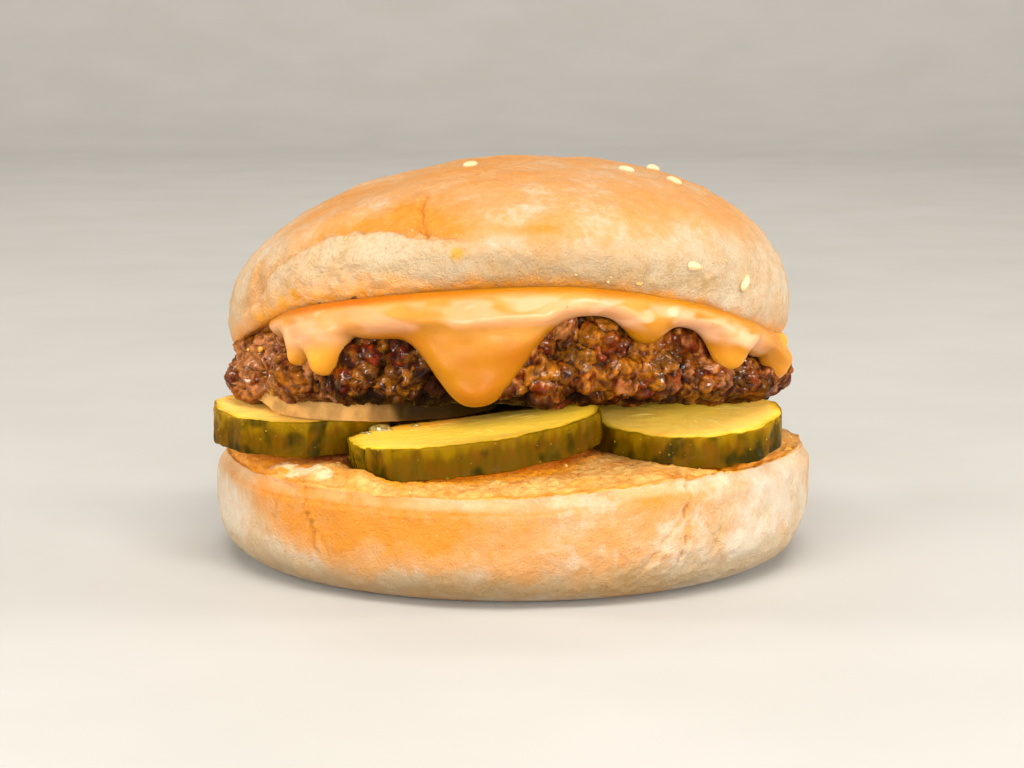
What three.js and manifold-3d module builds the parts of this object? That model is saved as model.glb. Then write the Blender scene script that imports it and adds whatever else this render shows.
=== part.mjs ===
// A hamburger as it stands ready to eat: a seeded bun crown, cheese sauce, one beef patty,
// four pickle slices and the bun heel. Millimetres, +Z up, the heel's flat underside at z = 0
// and the front of the burger towards -Y. An angle is measured round the burger from the front
// (-Y) towards +X, in degrees.

import * as THREE from 'three';
import * as BufferGeometryUtils from 'three/addons/utils/BufferGeometryUtils.js';
import { ImprovedNoise } from 'three/addons/math/ImprovedNoise.js';
import Module from 'manifold-3d';

// Driving dimensions of the whole burger
const BUN_RADIUS = 52.5;
const GAP = 0.3;

// Bun heel
const HEEL_SIDES = 56;
const HEEL_FOOT_RADIUS = 41.5;
const HEEL_CORNER_HEIGHT = 9.8;
const HEEL_CORNER_FULLNESS = 0.82;
const HEEL_RIM_RADIUS = 51.2;
const HEEL_NOMINAL_RIM = 17.5;
const HEEL_UNEVENNESS = 0.9;
const HEEL_FACE_CENTRE_HEIGHT = 21.8;
const HEEL_FACE_FLATNESS = 9;
const HEEL_RIM_HEIGHTS = [
  [-90, 18.2], [-45, 17.8], [0, 18.0], [25, 19.4], [55, 19.6], [90, 19.3], [135, 17.8], [180, 17.4],
];
const HEEL_CREASES = [
  { angle: -41, width: 2.2, depth: 1.0, from: 5, to: 17 },
  { angle: 33, width: 2.0, depth: 1.1, from: 4, to: 18 },
  { angle: 124, width: 3.0, depth: 0.7, from: 6, to: 16 },
  { angle: -133, width: 2.6, depth: 0.8, from: 5, to: 15 },
];

// Pickle slices: centre, half length along x, reach towards the front and the back, thickness,
// height of the middle of the top face, slope down to the front, rise to the right, ribs of the
// rind, lean of the rind at the left end
const PICKLE_SIDES = 40;
const PICKLE_RIB_DEPTH = 0.012;
const PICKLE_OVALNESS = 0.02;
const PICKLE_BACK_BEND = 0.012;
const PICKLE_FACE_DENT = 0.12;
const PICKLES = {
  pickle_left: {
    centre: [-35.6, -15.2], half: 16.2, front: 15.6, back: 15.0, thickness: 5.8,
    top: 28.2, slope: 0.07, rise: 0.0, ribs: 11, shear: 0.0, phase: 0.4,
  },
  pickle_centre: {
    centre: [-6.2, -31.5], half: 20.8, front: 14.0, back: 10.5, thickness: 5.4,
    top: 27.2, slope: 0.075, rise: 0.125, ribs: 13, shear: 0.2, phase: 2.1,
  },
  pickle_right: {
    centre: [29.4, -21.4], half: 15.9, front: 15.2, back: 14.0, thickness: 5.3,
    top: 27.8, slope: 0.15, rise: 0.025, ribs: 11, shear: 0.0, phase: 4.0,
  },
  pickle_back: {
    centre: [-22.0, -16.0], half: 20.4, front: 15.0, back: 12.0, thickness: 3.5,
    top: 31.6, slope: 0.05, rise: 0.01, ribs: 12, shear: 0.0, phase: 5.2,
  },
};

// Beef patty, which leans back because the pickles lie under its front half only
const PATTY_SIDES = 72;
const PATTY_RADIUS = 49.2;
const PATTY_CENTRE = [-0.5, 0.2];
const PATTY_BASE_HEIGHT = 26.5;
const PATTY_SLOPE = 0.137;
const PATTY_CRAG = 1.4;
const PATTY_LUMP = 5.5;
const PATTY_FACE_BUMP = 0.45;

// Cheese sauce: a layer on the patty whose edge runs over and drips
const CHEESE_SIDES = 92;
const CHEESE_REACH = [
  [-120, 48.8], [-90, 48.2], [-66, 49.0], [-50, 51.0], [-20, 52.0], [20, 52.0], [55, 51.4], [90, 49.4],
  [135, 50.2], [180, 50.8],
];
const CHEESE_THICKNESS = { middle: 2.0, front: 4.0, back: 1.1 };
const CHEESE_SKIRT = { front: 4.0, back: 2.2 };
const CHEESE_FRONT_CROWDING = 26;
const CHEESE_DRIPS = [
  { angle: -6.5, drop: 14.2, width: 8.4 },
  { angle: -36.4, drop: 7.2, width: 3.8 },
  { angle: -41.8, drop: 4.0, width: 2.4 },
  { angle: -26, drop: 2.4, width: 5 },
  { angle: 25.5, drop: 3.0, width: 4 },
  { angle: 43.6, drop: 4.8, width: 4.2 },
  { angle: 61, drop: 3.8, width: 4 },
  { angle: 84, drop: 2.6, width: 6 },
  { angle: 118, drop: 3.4, width: 7 },
  { angle: 163, drop: 4.2, width: 8 },
  { angle: -148, drop: 3.0, width: 7 },
  { angle: -96, drop: 1.6, width: 6 },
];

// Bun crown
const CROWN_SIDES = 60;
const CROWN_RADIUS = 49.2;
const CROWN_LIP_RADIUS = 47.6;
const CROWN_CENTRE = [-0.6, 0.4];
const CROWN_APEX = { x: 5, y: -5, z: 69.9 };
const CROWN_BULGE_HEIGHT = 5.5;
const CROWN_UNEVENNESS = 0.8;
const CROWN_UNDERSIDE = { centre: 42.8, slope: 0.172 };
const CROWN_LIP_HEIGHTS = [
  [-135, 34.6], [-90, 35.4], [-68, 40.2], [-46, 46.0], [-22, 49.6], [0, 51.3], [17, 50.7],
  [39, 47.1], [65, 40.6], [90, 38.4], [135, 35.4], [180, 34.4],
];
const CROWN_SHELF = {
  depth: 1.3,
  heights: [
    [-180, 50], [-90, 42], [-62, 46], [-50, 54], [-38, 59], [-24, 60.5], [-10, 59.5], [40, 56], [90, 50],
  ],
  from: -72,
  to: -4,
  fade: 12,
  width: 2.2,
};

// Sesame seeds on the crown
const SEED = { length: 3.1, width: 1.9, thickness: 1.3, raised: 0.1, taper: 0.3, sides: 6, rings: 3 };
const SEED_SPREAD = { count: 24, centre: [2, 30], reach: [32, 15], spacing: 5.4, seed: 11 };
const FRONT_SEEDS = [[-6.9, -16.9], [19.4, -15.1], [24.6, -2.5], [27.2, -15.8], [28.9, -38.9], [38.0, -30.0]];

const wasm = await Module();
wasm.setup();
const noise = new ImprovedNoise();
const toRadians = THREE.MathUtils.degToRad;
const { lerp, clamp, smoothstep } = THREE.MathUtils;

// A smooth closed curve of heights through [angle, height] stations, as a function of the angle
function aroundBurger(stations) {
  const count = stations.length;
  const angleAt = (i) => stations[((i % count) + count) % count][0] + 360 * Math.floor(i / count);
  const heightAt = (i) => stations[((i % count) + count) % count][1];
  const slopeAt = (i) => (heightAt(i + 1) - heightAt(i - 1)) / (angleAt(i + 1) - angleAt(i - 1));
  return (angle) => {
    let turned = angle;
    while (turned < stations[0][0]) turned += 360;
    while (turned >= stations[0][0] + 360) turned -= 360;
    let i = 0;
    while (turned >= angleAt(i + 1)) i += 1;
    const span = angleAt(i + 1) - angleAt(i);
    const t = (turned - angleAt(i)) / span;
    const rest = 1 - t;
    return heightAt(i) * (1 + 2 * t) * rest * rest + heightAt(i + 1) * t * t * (3 - 2 * t)
      + span * t * rest * (slopeAt(i) * rest - slopeAt(i + 1) * t);
  };
}

// The shortest turn from one angle to another
function turnBetween(angle, other) {
  return ((((angle - other) % 360) + 540) % 360) - 180;
}

// How far an angle points to the front: 1 in front, 0 at the back
function frontness(angle) {
  return 0.5 + 0.5 * Math.cos(toRadians(angle));
}

// Uneven relief, smooth over the given size in millimetres
function unevenness(x, y, z, size, shift = 0) {
  return noise.noise(x / size + shift, y / size + shift, z / size + shift);
}

// A closed body of rings: each profile point becomes a ring, and place() says where its points go
function ringBody(profile, sides, place) {
  const outline = profile.map((point) => new THREE.Vector2(point.r, point.z));
  const geometry = new THREE.LatheGeometry(outline, sides);
  const position = geometry.getAttribute('position');
  const uv = geometry.getAttribute('uv');
  for (let i = 0; i < position.count; i += 1) {
    const turn = uv.getX(i) % 1;
    const point = profile[Math.round(uv.getY(i) * (profile.length - 1))];
    const placed = place(point, turn * 360);
    position.setXYZ(i, placed.x, placed.y, placed.z);
  }
  return geometry;
}

function fromAngle(angle, radius, z, centre = [0, 0]) {
  const a = toRadians(angle);
  return new THREE.Vector3(centre[0] + radius * Math.sin(a), centre[1] - radius * Math.cos(a), z);
}

function mergePoints(geometry) {
  geometry.deleteAttribute('normal');
  geometry.deleteAttribute('uv');
  return BufferGeometryUtils.mergeVertices(geometry, 1e-4);
}

function toSolid(geometry) {
  const merged = mergePoints(geometry);
  return new wasm.Manifold(new wasm.Mesh({
    numProp: 3,
    vertProperties: new Float32Array(merged.getAttribute('position').array),
    triVerts: new Uint32Array(merged.getIndex().array),
  }));
}

// The largest body of a solid, without loose scraps
function largestBody(solid) {
  const bodies = solid.decompose();
  return bodies.reduce((a, b) => (a.volume() > b.volume() ? a : b));
}

function toGeometry(solid) {
  const mesh = solid.getMesh();
  const geometry = new THREE.BufferGeometry();
  geometry.setAttribute('position', new THREE.BufferAttribute(mesh.vertProperties, 3));
  geometry.setIndex(new THREE.BufferAttribute(mesh.triVerts, 1));
  geometry.computeVertexNormals();
  return geometry;
}

function named(name, solid, material) {
  const mesh = new THREE.Mesh(toGeometry(solid), material);
  mesh.name = name;
  return mesh;
}

const lipHeight = aroundBurger(CROWN_LIP_HEIGHTS);
const shelfHeight = aroundBurger(CROWN_SHELF.heights);
const cheeseReach = aroundBurger(CHEESE_REACH);
const heelRimHeight = aroundBurger(HEEL_RIM_HEIGHTS);

// Height of the crown's underside at a point, drooping at the sides to the lip
function crownUnderside(x, y) {
  const radius = Math.hypot(x, y);
  const angle = THREE.MathUtils.radToDeg(Math.atan2(x, -y));
  const level = CROWN_UNDERSIDE.centre - CROWN_UNDERSIDE.slope * y;
  const reach = CROWN_LIP_RADIUS / Math.max(radius, 1e-6);
  const levelAtLip = CROWN_UNDERSIDE.centre - CROWN_UNDERSIDE.slope * y * reach;
  const droop = (radius / CROWN_LIP_RADIUS) ** 3;
  return level + (lipHeight(angle) - levelAtLip) * droop;
}

function pattyBase(y) {
  return PATTY_BASE_HEIGHT - PATTY_SLOPE * y;
}

// Height of the patty's top, one layer of cheese under the crown
function pattyTop(x, y) {
  const radius = Math.hypot(x, y) / PATTY_RADIUS;
  const facing = frontness(THREE.MathUtils.radToDeg(Math.atan2(x, -y)));
  const edge = lerp(CHEESE_THICKNESS.back, CHEESE_THICKNESS.front, facing ** 2);
  const layer = lerp(CHEESE_THICKNESS.middle, edge, clamp(radius, 0, 1) ** 2);
  return crownUnderside(x, y) - layer - 2 * GAP;
}

// The heel: flat foot, round corner, upright side, torn rim and a slightly domed cut face
function heelSolid() {
  const foot = [0, 0.5, 1].map((f) => ({ r: HEEL_FOOT_RADIUS * f, z: 0, part: 'foot' }));
  const corner = [18, 38, 60, 80].map((degrees) => ({
    r: lerp(HEEL_FOOT_RADIUS, BUN_RADIUS, Math.sin(toRadians(degrees)) ** HEEL_CORNER_FULLNESS),
    z: HEEL_CORNER_HEIGHT * (1 - Math.cos(toRadians(degrees)) ** HEEL_CORNER_FULLNESS),
    part: 'side',
  }));
  const side = [10.5, 14.5].map((z) => ({ r: BUN_RADIUS, z, part: 'side' }));
  const rim = [{ r: 0.45 * BUN_RADIUS + 0.55 * HEEL_RIM_RADIUS, z: 16.6, part: 'rim' }];
  const face = [1, 0.96, 0.9, 0.78, 0.5, 0].map((f) => ({ r: HEEL_RIM_RADIUS * f, z: 20, f, part: 'face' }));
  const place = (point, angle) => {
    const flat = fromAngle(angle, point.r, point.z);
    if (point.part === 'foot') {
      return fromAngle(angle, point.r, 0);
    }
    const rim = heelRimHeight(angle);
    if (point.part === 'face') {
      const rise = 1 - point.f ** HEEL_FACE_FLATNESS;
      const rough = 0.5 * unevenness(flat.x, flat.y, 3, 9);
      return fromAngle(angle, point.r, lerp(rim, HEEL_FACE_CENTRE_HEIGHT, rise) + rough);
    }
    const stretched = point.z * rim / HEEL_NOMINAL_RIM;
    const lumps = unevenness(flat.x, flat.y, point.z, 26) * smoothstep(point.z, 0, 9);
    let radius = point.r + HEEL_UNEVENNESS * lumps;
    for (const crease of HEEL_CREASES) {
      const across = turnBetween(angle, crease.angle) / crease.width;
      const begins = smoothstep(point.z, crease.from - 3, crease.from);
      const along = begins * (1 - smoothstep(point.z, crease.to, crease.to + 3));
      radius -= crease.depth * Math.exp(-across * across) * along;
    }
    return fromAngle(angle, radius, stretched);
  };
  const geometry = ringBody([...foot, ...corner, ...side, ...rim, ...face], HEEL_SIDES, place);
  fitToWidth(geometry, BUN_RADIUS);
  return toSolid(geometry);
}

// Stretches a body a little so that it reaches exactly the same distance on all four sides
function fitToWidth(geometry, reach) {
  geometry.computeBoundingBox();
  const { min, max } = geometry.boundingBox;
  const scaleX = (2 * reach) / (max.x - min.x);
  const scaleY = (2 * reach) / (max.y - min.y);
  geometry.translate(-(min.x + max.x) / 2, -(min.y + max.y) / 2, 0);
  geometry.scale(scaleX, scaleY, 1);
}

// One pickle slice: a ribbed rind, soft corners, and a front half that slopes down to the rim
function pickleSolid(slice, grow = 0) {
  const half = slice.thickness / 2;
  const profile = [
    { r: 0, z: -1 }, { r: 0.55, z: -1 }, { r: 0.94, z: -1 }, { r: 1.0, z: -0.72 },
    { r: 1.0, z: 0.7 }, { r: 0.955, z: 1 }, { r: 0.55, z: 1 }, { r: 0, z: 1 },
  ];
  const place = (point, angle) => {
    const a = toRadians(angle);
    const ribs = 1 + PICKLE_RIB_DEPTH * Math.cos(slice.ribs * a + slice.phase)
      + PICKLE_OVALNESS * Math.cos(2 * a + slice.phase);
    const reach = Math.cos(a) > 0 ? slice.front : slice.back;
    const u = (slice.half * ribs + grow) * point.r * Math.sin(a);
    const v = -(reach * ribs + grow) * point.r * Math.cos(a);
    const bend = slice.slope * v - (v > 0 ? PICKLE_BACK_BEND * v * v : 0);
    const level = slice.top - half + bend + slice.rise * u;
    const dent = PICKLE_FACE_DENT * half * Math.max(0, 1 - point.r / 0.9);
    const z = level + point.z * (half + grow - dent);
    const lean = slice.shear * half * (1 - point.z) * smoothstep(-u / slice.half, 0.2, 1);
    return new THREE.Vector3(slice.centre[0] + u + lean, slice.centre[1] + v, z);
  };
  return toSolid(ringBody(profile, PICKLE_SIDES, place));
}

// The patty: a leaning disc of coarse ground beef with a craggy wall
function pattySolid(grow = 0) {
  const base = [0, 0.5, 0.86].map((f) => ({ r: f, z: 0 }));
  const wall = [
    { r: 0.955, z: 0.04 }, { r: 0.995, z: 0.2 }, { r: 1.005, z: 0.4 }, { r: 0.998, z: 0.6 },
    { r: 0.985, z: 0.8 }, { r: 0.95, z: 0.96 },
  ];
  const top = [0.84, 0.55, 0.28, 0].map((f) => ({ r: f, z: 1 }));
  const place = (point, angle) => {
    const swell = 1 + 0.012 * Math.sin(toRadians(3 * angle + 40)) + 0.008 * Math.cos(toRadians(5 * angle));
    const flat = fromAngle(angle, PATTY_RADIUS * point.r * swell, 0, PATTY_CENTRE);
    const low = pattyBase(flat.y);
    const high = pattyTop(flat.x, flat.y);
    const level = lerp(low, high, point.z);
    const onWall = point.r > 0.9;
    const bumps = onWall ? 0 : PATTY_FACE_BUMP * unevenness(flat.x, flat.y, 7, 7);
    let upright = 0;
    if (point.z <= 0.05) {
      upright = bumps - grow;
    } else if (point.z >= 0.95) {
      upright = grow - Math.abs(bumps);
    }
    const crag = onWall ? PATTY_CRAG * unevenness(flat.x, flat.y, level, PATTY_LUMP, 3.7) + grow : 0;
    return fromAngle(angle, PATTY_RADIUS * point.r * swell + crag, level + upright, PATTY_CENTRE);
  };
  return toSolid(ringBody([...base, ...wall, ...top], PATTY_SIDES, place));
}

// How low the sauce hangs at an angle
function cheeseEdge(angle) {
  let height = lipHeight(angle) - lerp(CHEESE_SKIRT.back, CHEESE_SKIRT.front, frontness(angle));
  for (const drip of CHEESE_DRIPS) {
    const across = turnBetween(angle, drip.angle) / drip.width;
    height -= drip.drop * Math.exp(-Math.LN2 * across * across);
  }
  return height;
}

// The sauce before the patty is taken out of it: a cap whose rim is as low as the drips
function cheeseCap() {
  const profile = [
    { r: 0, part: 'under' }, { r: 0.5, part: 'under' }, { r: 0.88, part: 'under' },
    { r: 0.975, part: 'edge', t: 1 }, { r: 0.994, part: 'edge', t: 0.95 }, { r: 1, part: 'edge', t: 0.82 },
    { r: 0.996, part: 'edge', t: 0.55 }, { r: 0.99, part: 'edge', t: 0.28 },
    { r: 0.965, part: 'edge', t: 0.08 },
    { r: 0.925, part: 'top' }, { r: 0.75, part: 'top' }, { r: 0.45, part: 'top' }, { r: 0, part: 'top' },
  ].map((point, i) => ({ ...point, z: i }));
  const place = (point, turned) => {
    const a = toRadians(turned);
    const angle = turned - CHEESE_FRONT_CROWDING * Math.sin(a);
    const fat = 1 + 0.006 * Math.cos(toRadians(7 * angle)) - 0.012 * (1 - frontness(angle));
    const flat = fromAngle(angle, cheeseReach(angle) * point.r * fat, 0);
    const lip = crownUnderside(flat.x, flat.y) - GAP;
    if (point.part === 'top') {
      flat.z = lip;
    } else if (point.part === 'edge') {
      const start = lipHeight(angle) - GAP - 0.7;
      flat.z = lerp(start, cheeseEdge(angle), point.t);
    } else {
      flat.z = point.r === 0.88 ? Math.min(lip - 3, cheeseEdge(angle) + 1) : lip - 5;
    }
    return flat;
  };
  return toSolid(ringBody(profile, CHEESE_SIDES, place));
}

// The crown's outer surface at an angle and a fraction of the way out from the apex
function crownSurface(angle, out) {
  const bulge = lipHeight(angle) + CROWN_BULGE_HEIGHT;
  const dome = Math.sqrt(Math.max(0, 1 - out * out));
  const pull = 1 - out * out;
  const centre = [
    lerp(CROWN_CENTRE[0], CROWN_APEX.x, pull),
    lerp(CROWN_CENTRE[1], CROWN_APEX.y, pull),
  ];
  const spot = fromAngle(angle, CROWN_RADIUS * out, lerp(bulge, CROWN_APEX.z, dome), centre);
  const swell = CROWN_UNEVENNESS * unevenness(spot.x, spot.y, spot.z, 24, 1.3);
  spot.z += swell * dome;
  const turned = turnBetween(angle, 0);
  const begins = smoothstep(turned, CROWN_SHELF.from, CROWN_SHELF.from + CROWN_SHELF.fade);
  const along = begins * (1 - smoothstep(turned, CROWN_SHELF.to - CROWN_SHELF.fade, CROWN_SHELF.to));
  const above = (spot.z - shelfHeight(angle)) / CROWN_SHELF.width;
  const valley = CROWN_SHELF.depth * along * Math.exp(-above * above);
  return spot.add(fromAngle(angle, -valley, -0.3 * valley));
}

// The crown's outer surface straight above or below a point of the plan
function crownOver(x, y) {
  let angle = 0;
  let out = 0.5;
  for (let pass = 0; pass < 30; pass += 1) {
    const spot = crownSurface(angle, out);
    const pull = 1 - out * out;
    const centreX = lerp(CROWN_CENTRE[0], CROWN_APEX.x, pull);
    const centreY = lerp(CROWN_CENTRE[1], CROWN_APEX.y, pull);
    angle = THREE.MathUtils.radToDeg(Math.atan2(x - centreX, -(y - centreY)));
    out = clamp(out + (Math.hypot(x, y) - Math.hypot(spot.x, spot.y)) / CROWN_RADIUS, 0, 0.999);
    out = lerp(out, clamp(Math.hypot(x - centreX, y - centreY) / CROWN_RADIUS, 0, 0.999), 0.5);
  }
  return crownSurface(angle, out);
}

// One sesame seed, lying flat on the crown with its narrow end turned to the given angle
function seedSolid(x, y, turn) {
  const geometry = new THREE.SphereGeometry(0.5, SEED.sides, SEED.rings);
  const position = geometry.getAttribute('position');
  for (let i = 0; i < position.count; i += 1) {
    const narrow = 1 - SEED.taper * (position.getY(i) + 0.5);
    position.setX(i, position.getX(i) * narrow);
  }
  geometry.scale(SEED.width / (1 - SEED.taper / 2), SEED.length, SEED.thickness);
  geometry.rotateZ(turn);
  const step = 0.6;
  const east = crownOver(x + step, y).sub(crownOver(x - step, y));
  const north = crownOver(x, y + step).sub(crownOver(x, y - step));
  const up = new THREE.Vector3().crossVectors(east, north).normalize();
  geometry.applyQuaternion(new THREE.Quaternion().setFromUnitVectors(new THREE.Vector3(0, 0, 1), up));
  const spot = crownOver(x, y).addScaledVector(up, SEED.raised);
  geometry.translate(spot.x, spot.y, spot.z);
  return toSolid(geometry);
}

// Where the seeds lie: the few that show in front, and a seeded scatter over the top and back
function seedSpots() {
  const spots = [...FRONT_SEEDS];
  THREE.MathUtils.seededRandom(SEED_SPREAD.seed);
  const wanted = FRONT_SEEDS.length + SEED_SPREAD.count;
  for (let tries = 0; tries < 4000 && spots.length < wanted; tries += 1) {
    const turn = 2 * Math.PI * THREE.MathUtils.seededRandom();
    const out = Math.sqrt(THREE.MathUtils.seededRandom());
    const x = SEED_SPREAD.centre[0] + SEED_SPREAD.reach[0] * out * Math.cos(turn);
    const y = SEED_SPREAD.centre[1] + SEED_SPREAD.reach[1] * out * Math.sin(turn);
    if (spots.every(([a, b]) => Math.hypot(x - a, y - b) > SEED_SPREAD.spacing)) {
      spots.push([x, y]);
    }
  }
  return spots;
}

// The crown without its seeds
function crownBody() {
  const underside = [0, 0.4, 0.75, 0.93].map((f) => ({ r: f, part: 'under' }));
  const lip = [0, 25, 50, 70].map((degrees) => ({
    out: Math.sin(toRadians(degrees)), up: 1 - Math.cos(toRadians(degrees)), part: 'lip',
  }));
  const dome = [90, 80, 70, 60, 50, 41, 32, 23, 14, 6, 0].map((degrees) => ({
    r: Math.sin(toRadians(degrees)), part: 'dome',
  }));
  const profile = [...underside, ...lip, ...dome].map((point, i) => ({ ...point, z: i }));
  const place = (point, angle) => {
    if (point.part === 'dome') {
      return crownSurface(angle, point.r);
    }
    if (point.part === 'lip') {
      const wide = crownSurface(angle, 1);
      const spot = fromAngle(angle, CROWN_LIP_RADIUS, 0, CROWN_CENTRE).lerp(wide, point.out);
      spot.z = lerp(lipHeight(angle), wide.z, point.up);
      return spot;
    }
    const flat = fromAngle(angle, CROWN_LIP_RADIUS * point.r, 0);
    flat.z = crownUnderside(flat.x, flat.y);
    return flat;
  };
  return ringBody(profile, CROWN_SIDES, place);
}

const materials = {
  bun: new THREE.MeshStandardMaterial({ color: 0xdf9a55, roughness: 0.62, metalness: 0 }),
  cheese: new THREE.MeshStandardMaterial({ color: 0xf5a94e, roughness: 0.3, metalness: 0 }),
  beef: new THREE.MeshStandardMaterial({ color: 0x6f3a26, roughness: 0.55, metalness: 0 }),
  pickle: new THREE.MeshStandardMaterial({ color: 0xa39a35, roughness: 0.35, metalness: 0 }),
};

const hamburger = new THREE.Group();

const pickles = {};
pickles.pickle_centre = pickleSolid(PICKLES.pickle_centre);
pickles.pickle_left = pickleSolid(PICKLES.pickle_left).subtract(pickleSolid(PICKLES.pickle_centre, GAP));
pickles.pickle_right = pickleSolid(PICKLES.pickle_right).subtract(pickleSolid(PICKLES.pickle_centre, GAP));
pickles.pickle_back = ['pickle_left', 'pickle_centre', 'pickle_right'].reduce(
  (solid, name) => solid.subtract(pickleSolid(PICKLES[name], GAP)),
  pickleSolid(PICKLES.pickle_back),
);

let heel = heelSolid();
let patty = pattySolid();
for (const name of Object.keys(PICKLES)) {
  heel = heel.subtract(pickleSolid(PICKLES[name], GAP));
  patty = patty.subtract(pickleSolid(PICKLES[name], GAP));
}
heel = heel.subtract(pattySolid(GAP));
const cheese = cheeseCap().subtract(pattySolid(GAP));
const seeds = seedSpots().map(([x, y]) => seedSolid(x, y, Math.PI * THREE.MathUtils.seededRandom()));
const crown = wasm.Manifold.union([toSolid(crownBody()), ...seeds]);

hamburger.add(named('bun_crown', largestBody(crown), materials.bun));
hamburger.add(named('cheese_sauce', largestBody(cheese), materials.cheese));
hamburger.add(named('patty', largestBody(patty), materials.beef));
for (const name of Object.keys(PICKLES)) {
  hamburger.add(named(name, largestBody(pickles[name]), materials.pickle));
}
hamburger.add(named('bun_heel', largestBody(heel), materials.bun));

export default hamburger;
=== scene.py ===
# %% [markdown]
# # A hamburger with cheese sauce and pickles
#
# This lesson dresses a plain construction model of food. The model holds eight closed solids at
# their true size: a seeded bun crown, cheese sauce, a beef patty, four pickle slices and a bun
# heel. Each solid is replaced here by a fine surface of the same form, with the relief, the
# stains and the shine of the real thing. The first lines load the model as a fixed frame.

# %% Load the fixed frame
import bpy
import numpy as np
from mathutils import Matrix, Vector, kdtree


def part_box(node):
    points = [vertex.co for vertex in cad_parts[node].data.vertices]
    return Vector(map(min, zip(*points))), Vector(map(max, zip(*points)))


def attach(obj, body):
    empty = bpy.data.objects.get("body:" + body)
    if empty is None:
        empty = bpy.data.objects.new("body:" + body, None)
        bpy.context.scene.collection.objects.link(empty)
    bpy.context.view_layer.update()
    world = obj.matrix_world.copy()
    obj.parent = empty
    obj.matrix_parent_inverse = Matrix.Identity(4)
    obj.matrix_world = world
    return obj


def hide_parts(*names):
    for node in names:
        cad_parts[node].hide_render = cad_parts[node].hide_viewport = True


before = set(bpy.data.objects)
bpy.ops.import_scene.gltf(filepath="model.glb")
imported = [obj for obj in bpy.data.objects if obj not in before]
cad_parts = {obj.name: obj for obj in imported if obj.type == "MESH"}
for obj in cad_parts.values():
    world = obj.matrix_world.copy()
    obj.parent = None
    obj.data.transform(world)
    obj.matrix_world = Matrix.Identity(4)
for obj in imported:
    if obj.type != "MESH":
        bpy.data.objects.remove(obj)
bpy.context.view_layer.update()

MM = 0.001
print("nodes:", sorted(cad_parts))

# %% [markdown]
# ## Camera
#
# The burger is looked at from the front and a little from above, so that the tops of the pickle
# slices just show. A long lens from nearly half a metre keeps the bun's outline round. The camera
# comes first because the fineness of every surface is chosen for the side that it sees.

# %% Place the camera
CAMERA_DISTANCE = 0.430
CAMERA_PITCH = np.radians(8.5)
CAMERA_TARGET = Vector((0.0, 0.0, 0.029))
LENS_MM = 85.0
SENSOR_MM = 36.0


def place_camera():
    lens = bpy.data.cameras.new("front_camera")
    lens.lens = LENS_MM
    lens.sensor_width = SENSOR_MM
    camera = bpy.data.objects.new("front_camera", lens)
    backwards = Vector((0.0, -np.cos(CAMERA_PITCH), np.sin(CAMERA_PITCH)))
    camera.location = CAMERA_TARGET + CAMERA_DISTANCE * backwards
    camera.rotation_euler = (np.radians(90.0) - CAMERA_PITCH, 0.0, 0.0)
    bpy.context.scene.collection.objects.link(camera)
    bpy.context.scene.camera = camera
    return camera


camera = place_camera()
print("camera at", [round(c, 4) for c in camera.location])

# %% [markdown]
# ## Measuring round the burger
#
# A burger is built of round layers, so every place on it is told by an angle, a radius and a
# height. The angle is 0 in front and grows towards the right. Heights that change round the
# burger, such as the crown's lip, are a smooth closed curve through a few stations.

# %% Blends between values
def blend(a, b, t):
    return a + (b - a) * t


def ease(value, low, high):
    t = np.clip((value - low) / (high - low), 0.0, 1.0)
    return t * t * (3.0 - 2.0 * t)


def fade(value, low, high):
    return 1.0 - ease(value, low, high)


def bell(value, centre, width):
    return np.exp(-((value - centre) / width) ** 2)


print("halfway up an ease from 0 to 2:", ease(1.0, 0.0, 2.0))

# %% Angles round the burger
FRONT_CROWDING = 33.0


def turn_between(angle, other):
    return (angle - other + 180.0) % 360.0 - 180.0


def around(angle, middle, width):
    """1 at a middle angle, fading to both sides of it."""
    return bell(turn_between(angle, middle), 0.0, width)


def patches_at(angle, height, patches):
    """Adds up soft patches of (angle, height, half width, half height, amount)."""
    return sum(
        amount * around(angle, middle, wide) * bell(height, level, tall)
        for middle, level, wide, tall, amount in patches)


def frontness(angle):
    return 0.5 + 0.5 * np.cos(np.radians(angle))


def angles_round(count):
    """Angles all the way round, closer together in front where the camera looks."""
    turned = np.arange(count) * 360.0 / count
    return (turned - FRONT_CROWDING * np.sin(np.radians(turned)))[None, :]


def place(angle, radius, height, centre=(0.0, 0.0)):
    a = np.radians(angle)
    x = centre[0] + radius * np.sin(a)
    y = centre[1] - radius * np.cos(a)
    return np.stack(np.broadcast_arrays(x, y, height), axis=-1)


def angle_of(x, y):
    return np.degrees(np.arctan2(x, -y))


print("angles apart in front:", round(float(angles_round(440)[0, 1]), 2), "degrees")

# %% Closed curves through stations
def around_burger(stations):
    """A smooth closed curve of heights through (angle, height) stations."""
    angles, heights = np.array(stations, float).T
    angles = np.concatenate([angles[-2:] - 360.0, angles, angles[:2] + 360.0])
    heights = np.concatenate([heights[-2:], heights, heights[:2]])
    slopes = np.gradient(heights)
    slopes[1:-1] = (heights[2:] - heights[:-2]) / (angles[2:] - angles[:-2])

    def height_at(angle):
        turned = angles[2] + (np.asarray(angle) - angles[2]) % 360.0
        i = np.clip(np.searchsorted(angles, turned, side="right") - 1, 1, len(angles) - 3)
        apart = angles[i + 1] - angles[i]
        t = (turned - angles[i]) / apart
        rest = 1.0 - t
        ends = heights[i] * (1 + 2 * t) * rest ** 2 + heights[i + 1] * t ** 2 * (3 - 2 * t)
        return ends + apart * t * rest * (slopes[i] * rest - slopes[i + 1] * t)

    return height_at


sloping = around_burger([(-90, 2.0), (0, 1.0), (90, 2.0), (180, 3.0)])
print("a curve from 1 mm in front to 3 mm behind is", sloping(45.0).round(2), "mm high between")

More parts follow.
